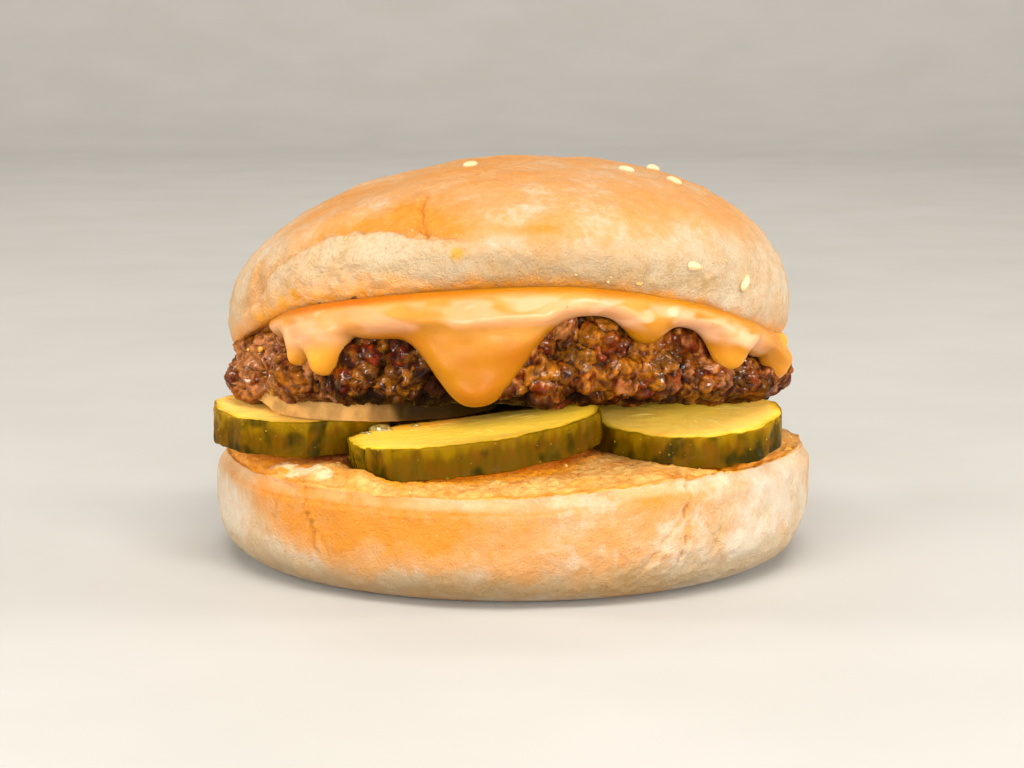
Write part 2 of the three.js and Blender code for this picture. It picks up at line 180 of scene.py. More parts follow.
# %% [markdown]
# ## Unevenness
#
# Nothing baked or fried is smooth. Gradient noise gives soft swellings of any size, and several
# sizes on top of each other give a rough skin. It is worked out from a small whole-number hash,
# so the food comes out the same each time.

# %% Noise
GRADIENTS = np.array([
    (1, 1, 0), (-1, 1, 0), (1, -1, 0), (-1, -1, 0), (1, 0, 1), (-1, 0, 1),
    (1, 0, -1), (-1, 0, -1), (0, 1, 1), (0, -1, 1), (0, 1, -1), (0, -1, -1),
], float)
HASH_STEPS = (374761393, 668265263, 1103515245, 1274126177)


def scramble(cell, seed):
    mixed = cell[..., 0] * HASH_STEPS[0] + cell[..., 1] * HASH_STEPS[1] + cell[..., 2] * HASH_STEPS[2]
    mixed = (mixed + seed * HASH_STEPS[3]) & 0xFFFFFFFF
    mixed = ((mixed ^ (mixed >> 13)) * HASH_STEPS[3]) & 0xFFFFFFFF
    return (mixed ^ (mixed >> 16)) & 0xFFFFFFFF


def soft_noise(spots, size, seed=0):
    """Soft swellings from about -1 to 1, of the given size in mm, or of one size for each axis."""
    scaled = np.asarray(spots) / np.asarray(size, float)
    cell = np.floor(scaled).astype(np.int64)
    local = scaled - cell
    smooth = local ** 3 * (local * (local * 6.0 - 15.0) + 10.0)
    total = np.zeros(scaled.shape[:-1])
    for corner in np.ndindex(2, 2, 2):
        offset = np.array(corner)
        gradient = GRADIENTS[scramble(cell + offset, seed) % len(GRADIENTS)]
        weight = np.prod(np.where(offset == 1, smooth, 1.0 - smooth), axis=-1)
        total += weight * ((local - offset) * gradient).sum(axis=-1)
    return 1.4 * total


def rough_noise(spots, size, octaves=3, seed=0):
    """Noise of several sizes, each half as large and half as strong as the one before."""
    size = np.asarray(size, float)
    layers = [soft_noise(spots, size / 2 ** k, seed + k) / 2 ** k for k in range(octaves)]
    return sum(layers)


def wrinkle_noise(spots, size, octaves=2, seed=0):
    """Thin raised lines where noise passes through zero, from 0 to 1."""
    return 1.0 - np.clip(np.abs(rough_noise(spots, size, octaves, seed)) * 3.0, 0.0, 1.0)


sample = np.random.default_rng(1).uniform(-50, 50, (5000, 3))
print("noise spans", soft_noise(sample, 5).min().round(2), soft_noise(sample, 5).max().round(2))

# %% [markdown]
# ## Bodies made of rings
#
# Each piece is lofted from rings of points: from the middle of its underside, round its edge and
# up to the middle of its top. Rings make closed bodies with even quads, and the relief is a
# simple move of each point along its normal.

# %% Raise a stack of rings
def grid_normals(rings):
    """The outward direction at each point of a stack of rings."""
    round_about = np.roll(rings, -1, axis=1) - np.roll(rings, 1, axis=1)
    upward = np.gradient(rings, axis=0)
    normal = np.cross(round_about, upward)
    length = np.linalg.norm(normal, axis=-1, keepdims=True)
    normal = normal / np.maximum(length, 1e-9)
    normal[0] = (0.0, 0.0, -1.0)
    normal[-1] = (0.0, 0.0, 1.0)
    return normal


def raise_surface(rings, relief):
    """Moves each point of the rings outward by the relief in mm."""
    return rings + grid_normals(rings) * relief[..., None]


tube = place(angles_round(24), 10.0, np.arange(5.0)[:, None])
raised = raise_surface(tube, np.ones(tube.shape[:2]))
print("a tube of 10 mm raised by 1 mm has", np.hypot(*raised[2, 0, :2]).round(2), "mm")

# %% [markdown]
# ## From points to a piece of the scene
#
# Blender makes a mesh from a list of points and a list of faces. A mask is an attribute with one
# number for each point, which the material reads by its name. Then the piece is tied to the
# frame: what it moves with, and which solids it stands for.

# %% Make a mesh and tie it to the frame
def mesh_object(name, spots, faces, masks, material):
    mesh = bpy.data.meshes.new(name)
    mesh.from_pydata((np.asarray(spots) * MM).tolist(), [], [list(face) for face in faces])
    for mask, values in masks.items():
        layer = mesh.attributes.new(mask, "FLOAT", "POINT")
        layer.data.foreach_set("value", np.ascontiguousarray(values, dtype=np.float32).ravel())
    mesh.shade_smooth()
    mesh.materials.append(material)
    piece = bpy.data.objects.new(name, mesh)
    bpy.context.scene.collection.objects.link(piece)
    return piece


def ring_object(name, rings, masks, material):
    """A closed body from rings whose first and last ring are single points."""
    rows, cols = rings.shape[:2]

    def with_poles(grid):
        flat = grid[1:-1].reshape((rows - 2) * cols, *grid.shape[2:])
        return np.concatenate([grid[0, :1], flat, grid[-1, :1]])

    low = 1 + np.arange((rows - 3) * cols)
    ahead = np.where((low - 1) % cols == cols - 1, low - cols + 1, low + 1)
    quads = np.stack([low, ahead, ahead + cols, low + cols], axis=1)
    first = 1 + np.arange(cols)
    last = first + (rows - 3) * cols
    pole = 1 + (rows - 2) * cols
    bottom = np.stack([np.zeros(cols, int), np.roll(first, -1), first], axis=1)
    top = np.stack([last, np.roll(last, -1), np.full(cols, pole)], axis=1)
    faces = quads.tolist() + bottom.tolist() + top.tolist()
    masks = {mask: with_poles(np.broadcast_to(grid, (rows, cols))) for mask, grid in masks.items()}
    piece = mesh_object(name, with_poles(rings), faces, masks, material)
    print(name, "has", 2 * len(quads) + 2 * cols, "triangles")
    return piece


def finish_piece(piece, slot, *nodes):
    """The piece stands for its nodes of the frame, which it hides, and hangs from the frame's root."""
    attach(piece, "root")
    if nodes:
        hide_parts(*nodes)
    return piece


# %% [markdown]
# ## Nodes for finishes
#
# A finish mixes colours by the masks on the points and by noise in the material. These helpers
# keep each finish short enough to read as a recipe. Colours are written as a painter would pick
# them from a screen, from 0 to 255, and turned into the linear values that the shader wants.

# %% Colours, links and nodes
def paint(red, green, blue):
    tones = np.array([red, green, blue]) / 255.0
    linear = np.where(tones <= 0.04045, tones / 12.92, ((tones + 0.055) / 1.055) ** 2.4)
    return (*linear.tolist(), 1.0)


def plug(tree, socket, value):
    """Sets an input to a plain value, or links it to another node's output."""
    if isinstance(value, bpy.types.NodeSocket):
        tree.links.new(value, socket)
    elif value is not None:
        socket.default_value = value


def add_node(tree, kind, inputs=None, **settings):
    node = tree.nodes.new(kind)
    for setting, value in settings.items():
        setattr(node, setting, value)
    for socket, value in (inputs or {}).items():
        plug(tree, node.inputs[socket], value)
    return node


print("mid grey in linear light:", round(paint(128, 128, 128)[0], 3))

# %% One small helper for each kind of node
def mask_of(tree, name):
    return add_node(tree, "ShaderNodeAttribute", attribute_name=name).outputs["Fac"]


def mix_paint(tree, factor, first, second):
    """Two colours mixed by a value, or by the mask of that name."""
    factor = mask_of(tree, factor) if isinstance(factor, str) else factor
    node = add_node(tree, "ShaderNodeMix", {0: factor, 6: first, 7: second}, data_type="RGBA")
    return node.outputs[2]


def count(tree, operation, first, second=None, clamp=False):
    node = add_node(tree, "ShaderNodeMath", {0: first, 1: second}, operation=operation)
    node.use_clamp = clamp
    return node.outputs[0]


def times(tree, first, second):
    return count(tree, "MULTIPLY", first, second)


def remap(tree, value, low, high, to_low=0.0, to_high=1.0):
    inputs = {"Value": value, "From Min": low, "From Max": high, "To Min": to_low, "To Max": to_high}
    return add_node(tree, "ShaderNodeMapRange", inputs, interpolation_type="SMOOTHSTEP").outputs[0]


def span(tree, mask, low, high):
    """A mask from 0 to 1 turned into a value between two limits."""
    return remap(tree, mask, 0.0, 1.0, low, high)


def ramp(tree, value, stops):
    """Colours along a mask: stops are (place, colour) from 0 to 1."""
    node = add_node(tree, "ShaderNodeValToRGB", {"Fac": value})
    while len(node.color_ramp.elements) < len(stops):
        node.color_ramp.elements.new(0.5)
    for element, (position, colour) in zip(node.color_ramp.elements, stops):
        element.position = position
        element.color = colour
    return node.outputs["Color"]


def effect(tree, group, **inputs):
    """A shared effect with its own values. Every effect has one output."""
    return add_node(tree, "ShaderNodeGroup", inputs, node_tree=group).outputs[0]


# %% [markdown]
# ## A new material
#
# Every finish starts from one Principled shader. Values that are the same all over the surface
# go straight on the shader's sockets, and only what changes over the surface comes from nodes.
# The bump turns a height into a slightly tilted normal, so that light breaks on fine grain.

# %% An empty finish and its bump
def new_finish(name, **constants):
    """A material with one Principled shader. Constants are set on the shader's own sockets."""
    material = bpy.data.materials.new(name)
    material.use_nodes = True
    tree = material.node_tree
    tree.nodes.clear()
    shader = add_node(tree, "ShaderNodeBsdfPrincipled")
    output = add_node(tree, "ShaderNodeOutputMaterial")
    tree.links.new(shader.outputs[0], output.inputs["Surface"])
    for socket, value in constants.items():
        shader.inputs[socket.replace("_", " ")].default_value = value
    return material, tree, shader


def add_bump(tree, shader, height, distance):
    bump = add_node(tree, "ShaderNodeBump", {"Height": height, "Distance": distance * MM})
    tree.links.new(bump.outputs[0], shader.inputs["Normal"])


# %% [markdown]
# ## Effects that several foods share
#
# Four effects come back in several finishes: a soft mottling of the colour, a fine grain for
# the bump, small separate specks such as herbs or char, and crossing threads as in dough. Each is
# a node group, built once and placed with its own values, that reads the object's coordinates.

# %% Mottle, grain, specks and threads as node groups
def new_group(name, inputs, output):
    """An empty group: its named inputs, its output, and noise settings sized by the first input."""
    group = bpy.data.node_groups.new(name, "ShaderNodeTree")
    for socket, value in inputs.items():
        made = group.interface.new_socket(socket, in_out="INPUT", socket_type="NodeSocketFloat")
        made.default_value = value
    group.interface.new_socket(output, in_out="OUTPUT", socket_type="NodeSocketFloat")
    given = group.nodes.new("NodeGroupInput").outputs
    made = group.nodes.new("NodeGroupOutput").inputs[output]
    where = add_node(group, "ShaderNodeTexCoord").outputs["Object"]
    return group, given, made, {"Vector": where, "Scale": count(group, "DIVIDE", 1.0 / MM, given[0])}


def noise_in(group, inputs):
    return add_node(group, "ShaderNodeTexNoise", inputs).outputs["Fac"]


def mottle_group():
    group, given, made, sized = new_group("mottle", {"Size": 5.0, "Low": 0.4, "High": 0.6}, "Mask")
    noise = noise_in(group, {**sized, "Detail": 4.0})
    group.links.new(remap(group, noise, given["Low"], given["High"]), made)
    return group


def grain_group():
    group, given, made, sized = new_group("grain", {"Size": 0.5, "Pores": 0.3}, "Height")
    noise = noise_in(group, {**sized, "Detail": 6.0, "Roughness": 0.62})
    cells = add_node(group, "ShaderNodeTexVoronoi", sized)
    sunk = times(group, remap(group, cells.outputs["Distance"], 0.0, 0.5), given["Pores"])
    group.links.new(count(group, "ADD", noise, sunk), made)
    return group


def speck_group():
    inputs = {"Spacing": 4.0, "Share": 0.3, "Radius": 0.12}
    group, given, made, sized = new_group("specks", inputs, "Mask")
    cells = add_node(group, "ShaderNodeTexVoronoi", sized)
    pick = add_node(group, "ShaderNodeSeparateColor", {"Color": cells.outputs["Color"]}).outputs[0]
    chosen = count(group, "LESS_THAN", pick, given["Share"])
    near = count(group, "LESS_THAN", cells.outputs["Distance"], given["Radius"])
    group.links.new(times(group, chosen, near), made)
    return group


def thread_group():
    """Fine crossing threads, as in torn dough: noise folded at its middle and twisted."""
    group, given, made, sized = new_group("threads", {"Size": 1.0, "Twist": 1.5}, "Height")
    noise = noise_in(group, {**sized, "Detail": 3.0, "Distortion": given["Twist"]})
    from_middle = count(group, "ABSOLUTE", count(group, "SUBTRACT", noise, 0.5))
    group.links.new(remap(group, from_middle, 0.16, 0.0), made)
    return group


MOTTLE, GRAIN, SPECKS, THREADS = mottle_group(), grain_group(), speck_group(), thread_group()
print("shared effects:", [group.name for group in (MOTTLE, GRAIN, SPECKS, THREADS)])

# %% [markdown]
# ## Bun crust
#
# A soft bun is brushed and baked, so its top is golden where the heat reached it, paler where
# dough touched dough, and dusted with flour. The shapes below store a mask for each of these
# and for bare and torn crumb, painted shade on the dough, yellow spots, and sauce and how deep it
# soaked in, which also carries painted shade.

# %% The bun finish
CRUST_PALE = paint(171, 157, 138)
CRUST_GOLD = paint(168, 124, 78)
CRUST_DEEP = paint(170, 106, 26)
FLOUR_CREAM = paint(148, 130, 100)
FLOUR_GREY = paint(146, 118, 78)
CRUMB_WHITE = paint(186, 164, 130)
CRUMB_PALE = paint(193, 154, 88)
CRUMB_CREAM = paint(154, 89, 17)
CRUMB_TORN = paint(206, 188, 154)
CRUST_UNDER = paint(110, 84, 42)
CRUST_YELLOW = paint(158, 118, 5)
SAUCE_STAIN = paint(194, 122, 14)
SAUCE_DEEP = paint(120, 40, 4)


def bun_finish():
    material, tree, shader = new_finish(
        "baked_bun", Subsurface_Weight=0.10, Subsurface_Scale=0.0012,
        Subsurface_Radius=(1.0, 0.7, 0.45), Specular_IOR_Level=0.2)
    patches = effect(tree, MOTTLE, Size=5.0, Low=0.3, High=0.7)
    fine = effect(tree, MOTTLE, Size=1.3, Low=0.3, High=0.7)
    threads = effect(tree, THREADS, Size=2.4, Twist=1.6)
    tone = count(tree, "ADD", mask_of(tree, "browning"), span(tree, patches, -0.10, 0.10))
    tone = count(tree, "ADD", tone, span(tree, fine, -0.07, 0.07), clamp=True)
    colour = ramp(tree, tone, [(0.0, CRUST_PALE), (0.45, CRUST_GOLD), (1.0, CRUST_DEEP)])
    dust = effect(tree, SPECKS, Spacing=0.8, Share=0.3, Radius=0.115)
    colour = mix_paint(tree, times(tree, dust, 0.6), colour, CRUMB_WHITE)
    clouds = effect(tree, MOTTLE, Size=3.6, Low=0.36, High=0.62)
    floured = mix_paint(tree, clouds, FLOUR_GREY, FLOUR_CREAM)
    floured = mix_paint(tree, times(tree, threads, 0.4), floured, CRUMB_WHITE)
    grainy = times(tree, mask_of(tree, "flour"), span(tree, patches, 0.75, 1.0))
    colour = mix_paint(tree, grainy, colour, floured)
    small_holes = times(tree, fine, 0.45)
    open_crumb = count(tree, "ADD", small_holes, times(tree, patches, 0.55))
    crumb = mix_paint(tree, open_crumb, CRUMB_CREAM, CRUMB_PALE)
    colour = mix_paint(tree, "crumb", colour, crumb)
    # The under mask paints shade on the dough, where it hangs over or lies low.
    colour = mix_paint(tree, "under", colour, CRUST_UNDER)
    colour = mix_paint(tree, "yellow", colour, CRUST_YELLOW)
    stain = times(tree, mask_of(tree, "sauce"), span(tree, fine, 0.6, 1.0))
    # Where sauce soaked in, its deep colour is partly stain and partly painted shade.
    soaked = mix_paint(tree, "soaked", SAUCE_STAIN, SAUCE_DEEP)
    colour = mix_paint(tree, stain, colour, soaked)
    colour = mix_paint(tree, "torn", colour, CRUMB_TORN)
    plug(tree, shader.inputs["Base Color"], colour)
    dull = count(tree, "SUBTRACT", 0.62, times(tree, mask_of(tree, "sauce"), 0.25))
    plug(tree, shader.inputs["Roughness"], dull)
    grain = effect(tree, GRAIN, Size=0.5, Pores=0.4)
    height = count(tree, "ADD", grain, times(tree, threads, 0.18))
    add_bump(tree, shader, height, 0.2)
    return material


bun_material = bun_finish()
print(bun_material.name, "has", len(bun_material.node_tree.nodes), "nodes")

# %% [markdown]
# ## Bun crown
#
# The crown is a leaning dome on a rounded lip that lifts in front, where the filling is highest.
# The same few stations as in the construction model give its lip, so the two forms agree. The
# dome and the lip are worked out as rings, fine enough to carry folds and torn crust.

# %% The crown's main form
CROWN_LOW, CROWN_HIGH = (np.array(corner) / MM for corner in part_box("bun_crown"))
CROWN_RADIUS = (CROWN_HIGH[0] - CROWN_LOW[0]) / 2
CROWN_CENTRE = (CROWN_LOW[:2] + CROWN_HIGH[:2]) / 2
CROWN_APEX = np.array([5.0, -5.0])
CROWN_TOP = 69.9
CROWN_LIP_RADIUS = 47.6
CROWN_BULGE = 5.5
CROWN_SWELL = 0.8
UNDERSIDE_HEIGHT = 42.8
UNDERSIDE_SLOPE = 0.172
LIP_STATIONS = [
    (-135, 34.6), (-90, 35.4), (-68, 40.2), (-46, 46.0), (-22, 49.6), (0, 51.3), (17, 50.7),
    (39, 47.1), (65, 40.6), (90, 38.4), (135, 35.4), (180, 34.4),
]
lip_height = around_burger(LIP_STATIONS)


def crown_surface(angle, out):
    """The crown's smooth outside at an angle and a share of the way out from its top."""
    dome = np.sqrt(np.maximum(0.0, 1.0 - out ** 2))
    pull = 1.0 - out ** 2
    centre = (blend(CROWN_CENTRE[0], CROWN_APEX[0], pull), blend(CROWN_CENTRE[1], CROWN_APEX[1], pull))
    height = blend(lip_height(angle) + CROWN_BULGE, CROWN_TOP, dome)
    spots = place(angle, CROWN_RADIUS * out, height, centre)
    spots[..., 2] += CROWN_SWELL * soft_noise(spots, 24, seed=5) * dome
    return spots


def crown_underside(x, y):
    radius = np.hypot(x, y)
    reach = CROWN_LIP_RADIUS / np.maximum(radius, 1e-6)
    level = UNDERSIDE_HEIGHT - UNDERSIDE_SLOPE * y
    level_at_lip = UNDERSIDE_HEIGHT - UNDERSIDE_SLOPE * y * reach
    droop = (radius / CROWN_LIP_RADIUS) ** 3
    return level + (lip_height(angle_of(x, y)) - level_at_lip) * droop


def crown_rings(columns=440, under_rows=8, lip_rows=16, dome_rows=180):
    angle = angles_round(columns)
    share = np.linspace(0.0, 1.0, under_rows, endpoint=False)[:, None]
    under = place(angle, CROWN_LIP_RADIUS * share, 0.0)
    under[..., 2] = crown_underside(under[..., 0], under[..., 1])
    turn = np.radians(np.linspace(0.0, 84.0, lip_rows))[:, None]
    wide = crown_surface(angle, np.ones((1, 1)))
    lip = place(angle, CROWN_LIP_RADIUS, lip_height(angle), CROWN_CENTRE)
    lip = blend(lip, wide, np.sin(turn)[..., None])
    lip[..., 2] = blend(lip_height(angle), wide[..., 2], 1.0 - np.cos(turn))
    dome = crown_surface(angle, np.sin(np.radians(np.linspace(90.0, 0.0, dome_rows)))[:, None])
    rings = np.concatenate([under, lip, dome])
    return rings, np.broadcast_to(angle, rings.shape[:2])


crown_base, crown_angle = crown_rings()
print("crown radius", round(CROWN_RADIUS, 1), "mm, lip in front at", lip_height(0.0).round(1), "mm")

# %% [markdown]
# ## Relief and colour of the crown
#
# On the left of the front the crust has torn and slipped: a ragged shelf, with a golden valley
# above it and a rough floury band below it. A short crack runs up from the valley, and sauce has
# stained the lip. All of it is drawn against curves of heights, with distances in millimetres.
# Each mark has a function of its own, and the next step adds them up.

# %% Shelf, crack and floury band
SHELF_STATIONS = [
    (-180, 50), (-90, 42), (-62, 46), (-50, 54), (-38, 59), (-24, 60.5), (-10, 59.5), (40, 56), (90, 50),
]
SHELF_FROM, SHELF_TO, SHELF_FADE = -72.0, -4.0, 12.0
CRACK_TOP = {"angle": -26.0, "height": 65.2}
CRACK_FOOT = {"angle": -15.0, "height": 58.8}
BROWN_PATCHES = [
    (52, 62, 26, 4.0, 0.18), (-50, 65, 42, 7.0, 0.24), (-24, 61.6, 8, 1.8, 0.40), (4, 60.5, 7, 0.7, 0.35),
    (-4, 61, 12, 1.6, 0.20), (-84, 48, 16, 9.0, 0.20), (-61, 49.5, 2.2, 3.0, 0.5),
]
PALE_PATCHES = [(-72, 45, 9, 3.5, 0.9), (62, 50, 10, 3.0, 0.5)]
YELLOW_SPOTS = [
    (-9.6, 56.7, 1.1), (-57.0, 43.2, 1.7), (-53.5, 44.6, 1.2), (-45.0, 48.8, 1.2), (-49.0, 47.0, 1.1),
]
shelf_height = around_burger(SHELF_STATIONS)


def shelf_marks(base, angle, ragged):
    """Where the shelf runs, each point's height above it and its depth, its valley and its band."""
    turned = turn_between(angle, 0.0)
    along = ease(turned, SHELF_FROM, SHELF_FROM + SHELF_FADE)
    along = along * fade(turned, SHELF_TO - SHELF_FADE, SHELF_TO)
    above = base[..., 2] - shelf_height(angle) + ragged
    deep = along * blend(0.7, 1.0, ease(rough_noise(base, 8.0, 2, seed=23), -0.3, 0.3))
    valley = deep * np.where(above > 0, bell(above, 0, 2.4), bell(above, 0, 0.9))
    band = along * ease(-above, 0.0, 1.4) * fade(-above, 2.0, 10.0)
    return along, above, deep, valley, band


def crack_marks(base, angle):
    """The crack, and the shoulder of dough that stands up beside it."""
    turned = turn_between(angle, 0.0)
    height = base[..., 2]
    down_crack = (CRACK_TOP["height"] - height) / (CRACK_TOP["height"] - CRACK_FOOT["height"])
    crack_angle = blend(CRACK_TOP["angle"], CRACK_FOOT["angle"], down_crack)
    across = np.radians(turn_between(turned, crack_angle)) * CROWN_RADIUS * 0.8
    across = across + 0.5 * soft_noise(base, 2.0, 3)
    on_crack = ease(down_crack, -0.1, 0.15) * fade(down_crack, 0.85, 1.1)
    return on_crack * bell(across, 0.0, 0.42), on_crack * bell(across, -1.3, 1.1)


def stain_marks(base, over_lip, left, along):
    """Sauce that has stained the lip, most at the left, and splashed the band above it."""
    reach = 1.3 + 2.7 * left + 0.8 * soft_noise(base, 4.0, 17)
    sauce = np.maximum(bell(over_lip, 0.0, np.maximum(reach, 0.4)), fade(over_lip, 0.2, 1.0))
    splashes = 0.5 * along * ease(soft_noise(base, 5.0, 19), 0.25, 0.6)
    return np.maximum(sauce, splashes * bell(over_lip, 3.0, 2.5))


def yellow_marks(angle, height, ragged):
    yellow = np.zeros_like(height)
    for at, level, size in YELLOW_SPOTS:
        away = np.hypot(np.radians(turn_between(angle, at)) * CROWN_RADIUS, height - level)
        yellow = np.maximum(yellow, fade(away + 0.5 * ragged, 0.6 * size, 1.3 * size))
    return yellow


print("shelf in front at", shelf_height(0.0).round(1), "mm, spots of yellow:", len(YELLOW_SPOTS))

# %% [markdown]
# ## The dressed crown
#
# Marks are used twice, which keeps colour and form together: the valley is both lower and
# browner, and the floury band both rougher and paler. Fine noise of several sizes joins them.
# The masks are clipped between 0 and 1, because the material mixes its colours by them.

# %% Relief and masks of the crown
def crown_looks(base, angle):
    """Relief in mm and the colour masks of the crown's points."""
    turned = turn_between(angle, 0.0)
    height = base[..., 2]
    over_lip = height - lip_height(angle)
    outside = ease(over_lip, -0.6, 1.4)
    ragged = 0.8 * rough_noise(base, 4.0, 4, seed=21)
    along, above, deep, valley, band = shelf_marks(base, angle, ragged)
    crack, shoulder = crack_marks(base, angle)
    # Flour lies low on the crown, and all over the band below the shelf.
    floury = ease(over_lip, 0.5, 3.0) * fade(height + ragged, 53.5, 61.0) * bell(turned, 0.0, 95.0)
    floury = floury * (1.0 - 0.5 * ease(-turned, 56.0, 72.0) * ease(height, 48.0, 54.0))
    floury = np.maximum(floury * outside, along * ease(-above, 0.2, 2.4) * outside)
    # The valley, crack and crease cut into the crust, and the band and shoulder stand up a little.
    # Noise of several sizes roughens it, most where it is floury.
    fibres = wrinkle_noise(base + 0.6 * ragged[..., None], (3.4, 3.4, 1.6), 3, seed=31) * floury
    lumpy = rough_noise(base, 7.0, 4, seed=8)
    pocked = rough_noise(base, 1.7, 2, seed=12)
    crease = bell(turn_between(angle, -59.5 - 0.45 * (height - 49.0)), 0.0, 1.1) * bell(height, 48.8, 4.2)
    relief = -1.1 * valley + 0.35 * band - 0.75 * crack + 0.25 * shoulder - 1.1 * crease
    relief = relief + 0.07 * fibres + 0.26 * lumpy + 0.10 * pocked * (0.5 + floury)
    relief = relief + 0.22 * floury * rough_noise(base, (4.6, 4.6, 2.8), 3, seed=33)
    relief = relief * outside

    # Browning goes from 0 for pale to 1 for deep brown: mottled, in patches, dark along the marks.
    # In the valley, the crack and the crease this dark is partly the crust's colour and partly painted shade.
    brown = 0.34 + 0.08 * lumpy + 0.20 * rough_noise(base, 15.0, 3, seed=3)
    brown = brown + 0.10 * ease(height, 58.0, 66.0)
    brown = brown + patches_at(angle, height, BROWN_PATCHES)
    above_shelf = deep * bell(above, 0.9, 1.3)
    brown = brown + 0.62 * np.maximum(0.7 * valley, above_shelf) + 0.6 * crack - 0.3 * floury + 0.7 * crease
    # The middle of the front is painted a little browner and less floury: painted shade under the bulge.
    middle = bell(turned, 4.0, 17.0)
    brown = brown + 0.12 * middle * bell(height, 54.5, 4.5)
    floury = floury * (1.0 - 0.35 * middle * bell(height, 54.0, 4.0))
    floury = np.maximum(floury, patches_at(angle, height, PALE_PATCHES))
    left = around(angle, -45.0, 26.0)
    sauce = stain_marks(base, over_lip, left, along)
    # Where the front hangs over, shade is painted on the dough.
    overhang = 0.58 * bell(turned, 6.0, 26.0) + 0.2 * bell(turned, 45.0, 16.0)
    # The dark soaked colour at the lip's lower edge, most at the left, is partly stain and partly painted
    # shade.
    masks = {
        "browning": np.clip(brown, 0.0, 1.0), "flour": np.clip(0.85 * floury, 0.0, 1.0),
        "sauce": np.clip(sauce, 0.0, 1.0), "soaked": bell(over_lip, -0.4, 0.8) * blend(0.15, 0.7, left),
        "crumb": fade(over_lip, -0.8, 0.3), "under": overhang * bell(height, 53.0, 5.0) * outside,
        "yellow": 0.8 * yellow_marks(angle, height, ragged),
    }
    return relief, masks


crown_relief, crown_masks = crown_looks(crown_base, crown_angle)
crown_surface_rings = raise_surface(crown_base, crown_relief)
crown = ring_object("crown_crust", crown_surface_rings, crown_masks, bun_material)
finish_piece(crown, "bun_crown", "bun_crown")

# %% [markdown]
# ## Sesame seeds
#
# A few seeds show in front and more lie over the top and the back. Each is a flat drop shape
# that lies on the crust, a little sunk into it. One seeded draw, the same as in the construction
# model, says where they are.

# %% Sesame seeds
SEED_LENGTH, SEED_WIDTH, SEED_THICKNESS, SEED_TAPER = 3.1, 1.9, 1.3, 0.3
SEED_COUNT, SEED_SPACING, SEED_DRAW = 24, 5.4, 11
SEED_AREA = {"centre": (2.0, 30.0), "reach": (32.0, 15.0)}
FRONT_SEEDS = [
    dict(at=(-6.9, -16.9), turn=-50.0), dict(at=(19.4, -15.1), turn=60.0), dict(at=(24.6, -2.5)),
    dict(at=(27.2, -15.8), turn=55.0),
    dict(at=(28.9, -38.9), height=53.3, turn=-65.0), dict(at=(38.0, -30.0), height=49.6, turn=15.0),
]


def steady_draws(seed):
    """A small generator of even random numbers that any language can repeat."""
    state = seed
    while True:
        state = (state + 0x6D2B79F5) & 0xFFFFFFFF
        t = state
        t = ((t ^ (t >> 15)) * (t | 1)) & 0xFFFFFFFF
        t ^= (t + ((t ^ (t >> 7)) * (t | 61) & 0xFFFFFFFF)) & 0xFFFFFFFF
        yield (t ^ (t >> 14)) / 4294967296.0


def seed_spots(draws):
    spots = list(FRONT_SEEDS)
    while len(spots) < len(FRONT_SEEDS) + SEED_COUNT:
        turn = 2.0 * np.pi * next(draws)
        out = np.sqrt(next(draws))
        x = SEED_AREA["centre"][0] + SEED_AREA["reach"][0] * out * np.cos(turn)
        y = SEED_AREA["centre"][1] + SEED_AREA["reach"][1] * out * np.sin(turn)
        if all(np.hypot(x - spot["at"][0], y - spot["at"][1]) > SEED_SPACING for spot in spots):
            spots.append(dict(at=(x, y)))
    return spots


print("seeds:", len(seed_spots(steady_draws(SEED_DRAW))))

# %% [markdown]
# ## Seeds on the crust
#
# A seed is a small ball of rings, made narrow at one end and flattened. It is turned to the
# crust's own direction where it lies, so that it rests flat on the dome. All seeds are joined
# into one object with one material.

# %% Form and finish of a seed
def seed_form(columns=14, rows=9):
    """One seed around the origin: a flattened drop with its narrow end towards +Y."""
    angle = np.arange(columns) * 360.0 / columns
    lift = np.radians(np.linspace(-90.0, 90.0, rows))[:, None]
    form = place(angle[None, :], np.cos(lift), np.sin(lift)) * 0.5
    narrow = 1.0 - SEED_TAPER * (form[..., 1] * 2.0 + 0.6) * 0.8
    form[..., 0] = form[..., 0] * narrow
    return form * np.array([SEED_WIDTH, SEED_LENGTH, SEED_THICKNESS])


def seed_finish():
    material, tree, shader = new_finish(
        "sesame", Roughness=0.42, Subsurface_Weight=0.2, Subsurface_Scale=0.001,
        Subsurface_Radius=(1.0, 0.6, 0.3))
    tint = effect(tree, MOTTLE, Size=1.6, Low=0.35, High=0.65)
    tint = mix_paint(tree, tint, paint(196, 168, 132), paint(188, 152, 110))
    plug(tree, shader.inputs["Base Color"], tint)
    grain = effect(tree, GRAIN, Size=0.3, Pores=0.1)
    add_bump(tree, shader, grain, 0.05)
    return material


seed_sizes = np.ptp(seed_form().reshape(-1, 3), axis=0)
print("one seed is", seed_sizes.round(1), "mm wide, long and thick")

# %% Lay the seeds
UNDER_THE_LIP = 30
crown_points = crown_surface_rings[UNDER_THE_LIP:].reshape(-1, 3)
crown_facing = grid_normals(crown_base)[UNDER_THE_LIP:].reshape(-1, 3)


def spot_on_crown(at, height=None):
    """The crust's point right above a place, or nearest to it where a height is given."""
    away = np.hypot(crown_points[:, 0] - at[0], crown_points[:, 1] - at[1])
    if height is not None:
        away = np.hypot(away, crown_points[:, 2] - height)
    return away.argmin()


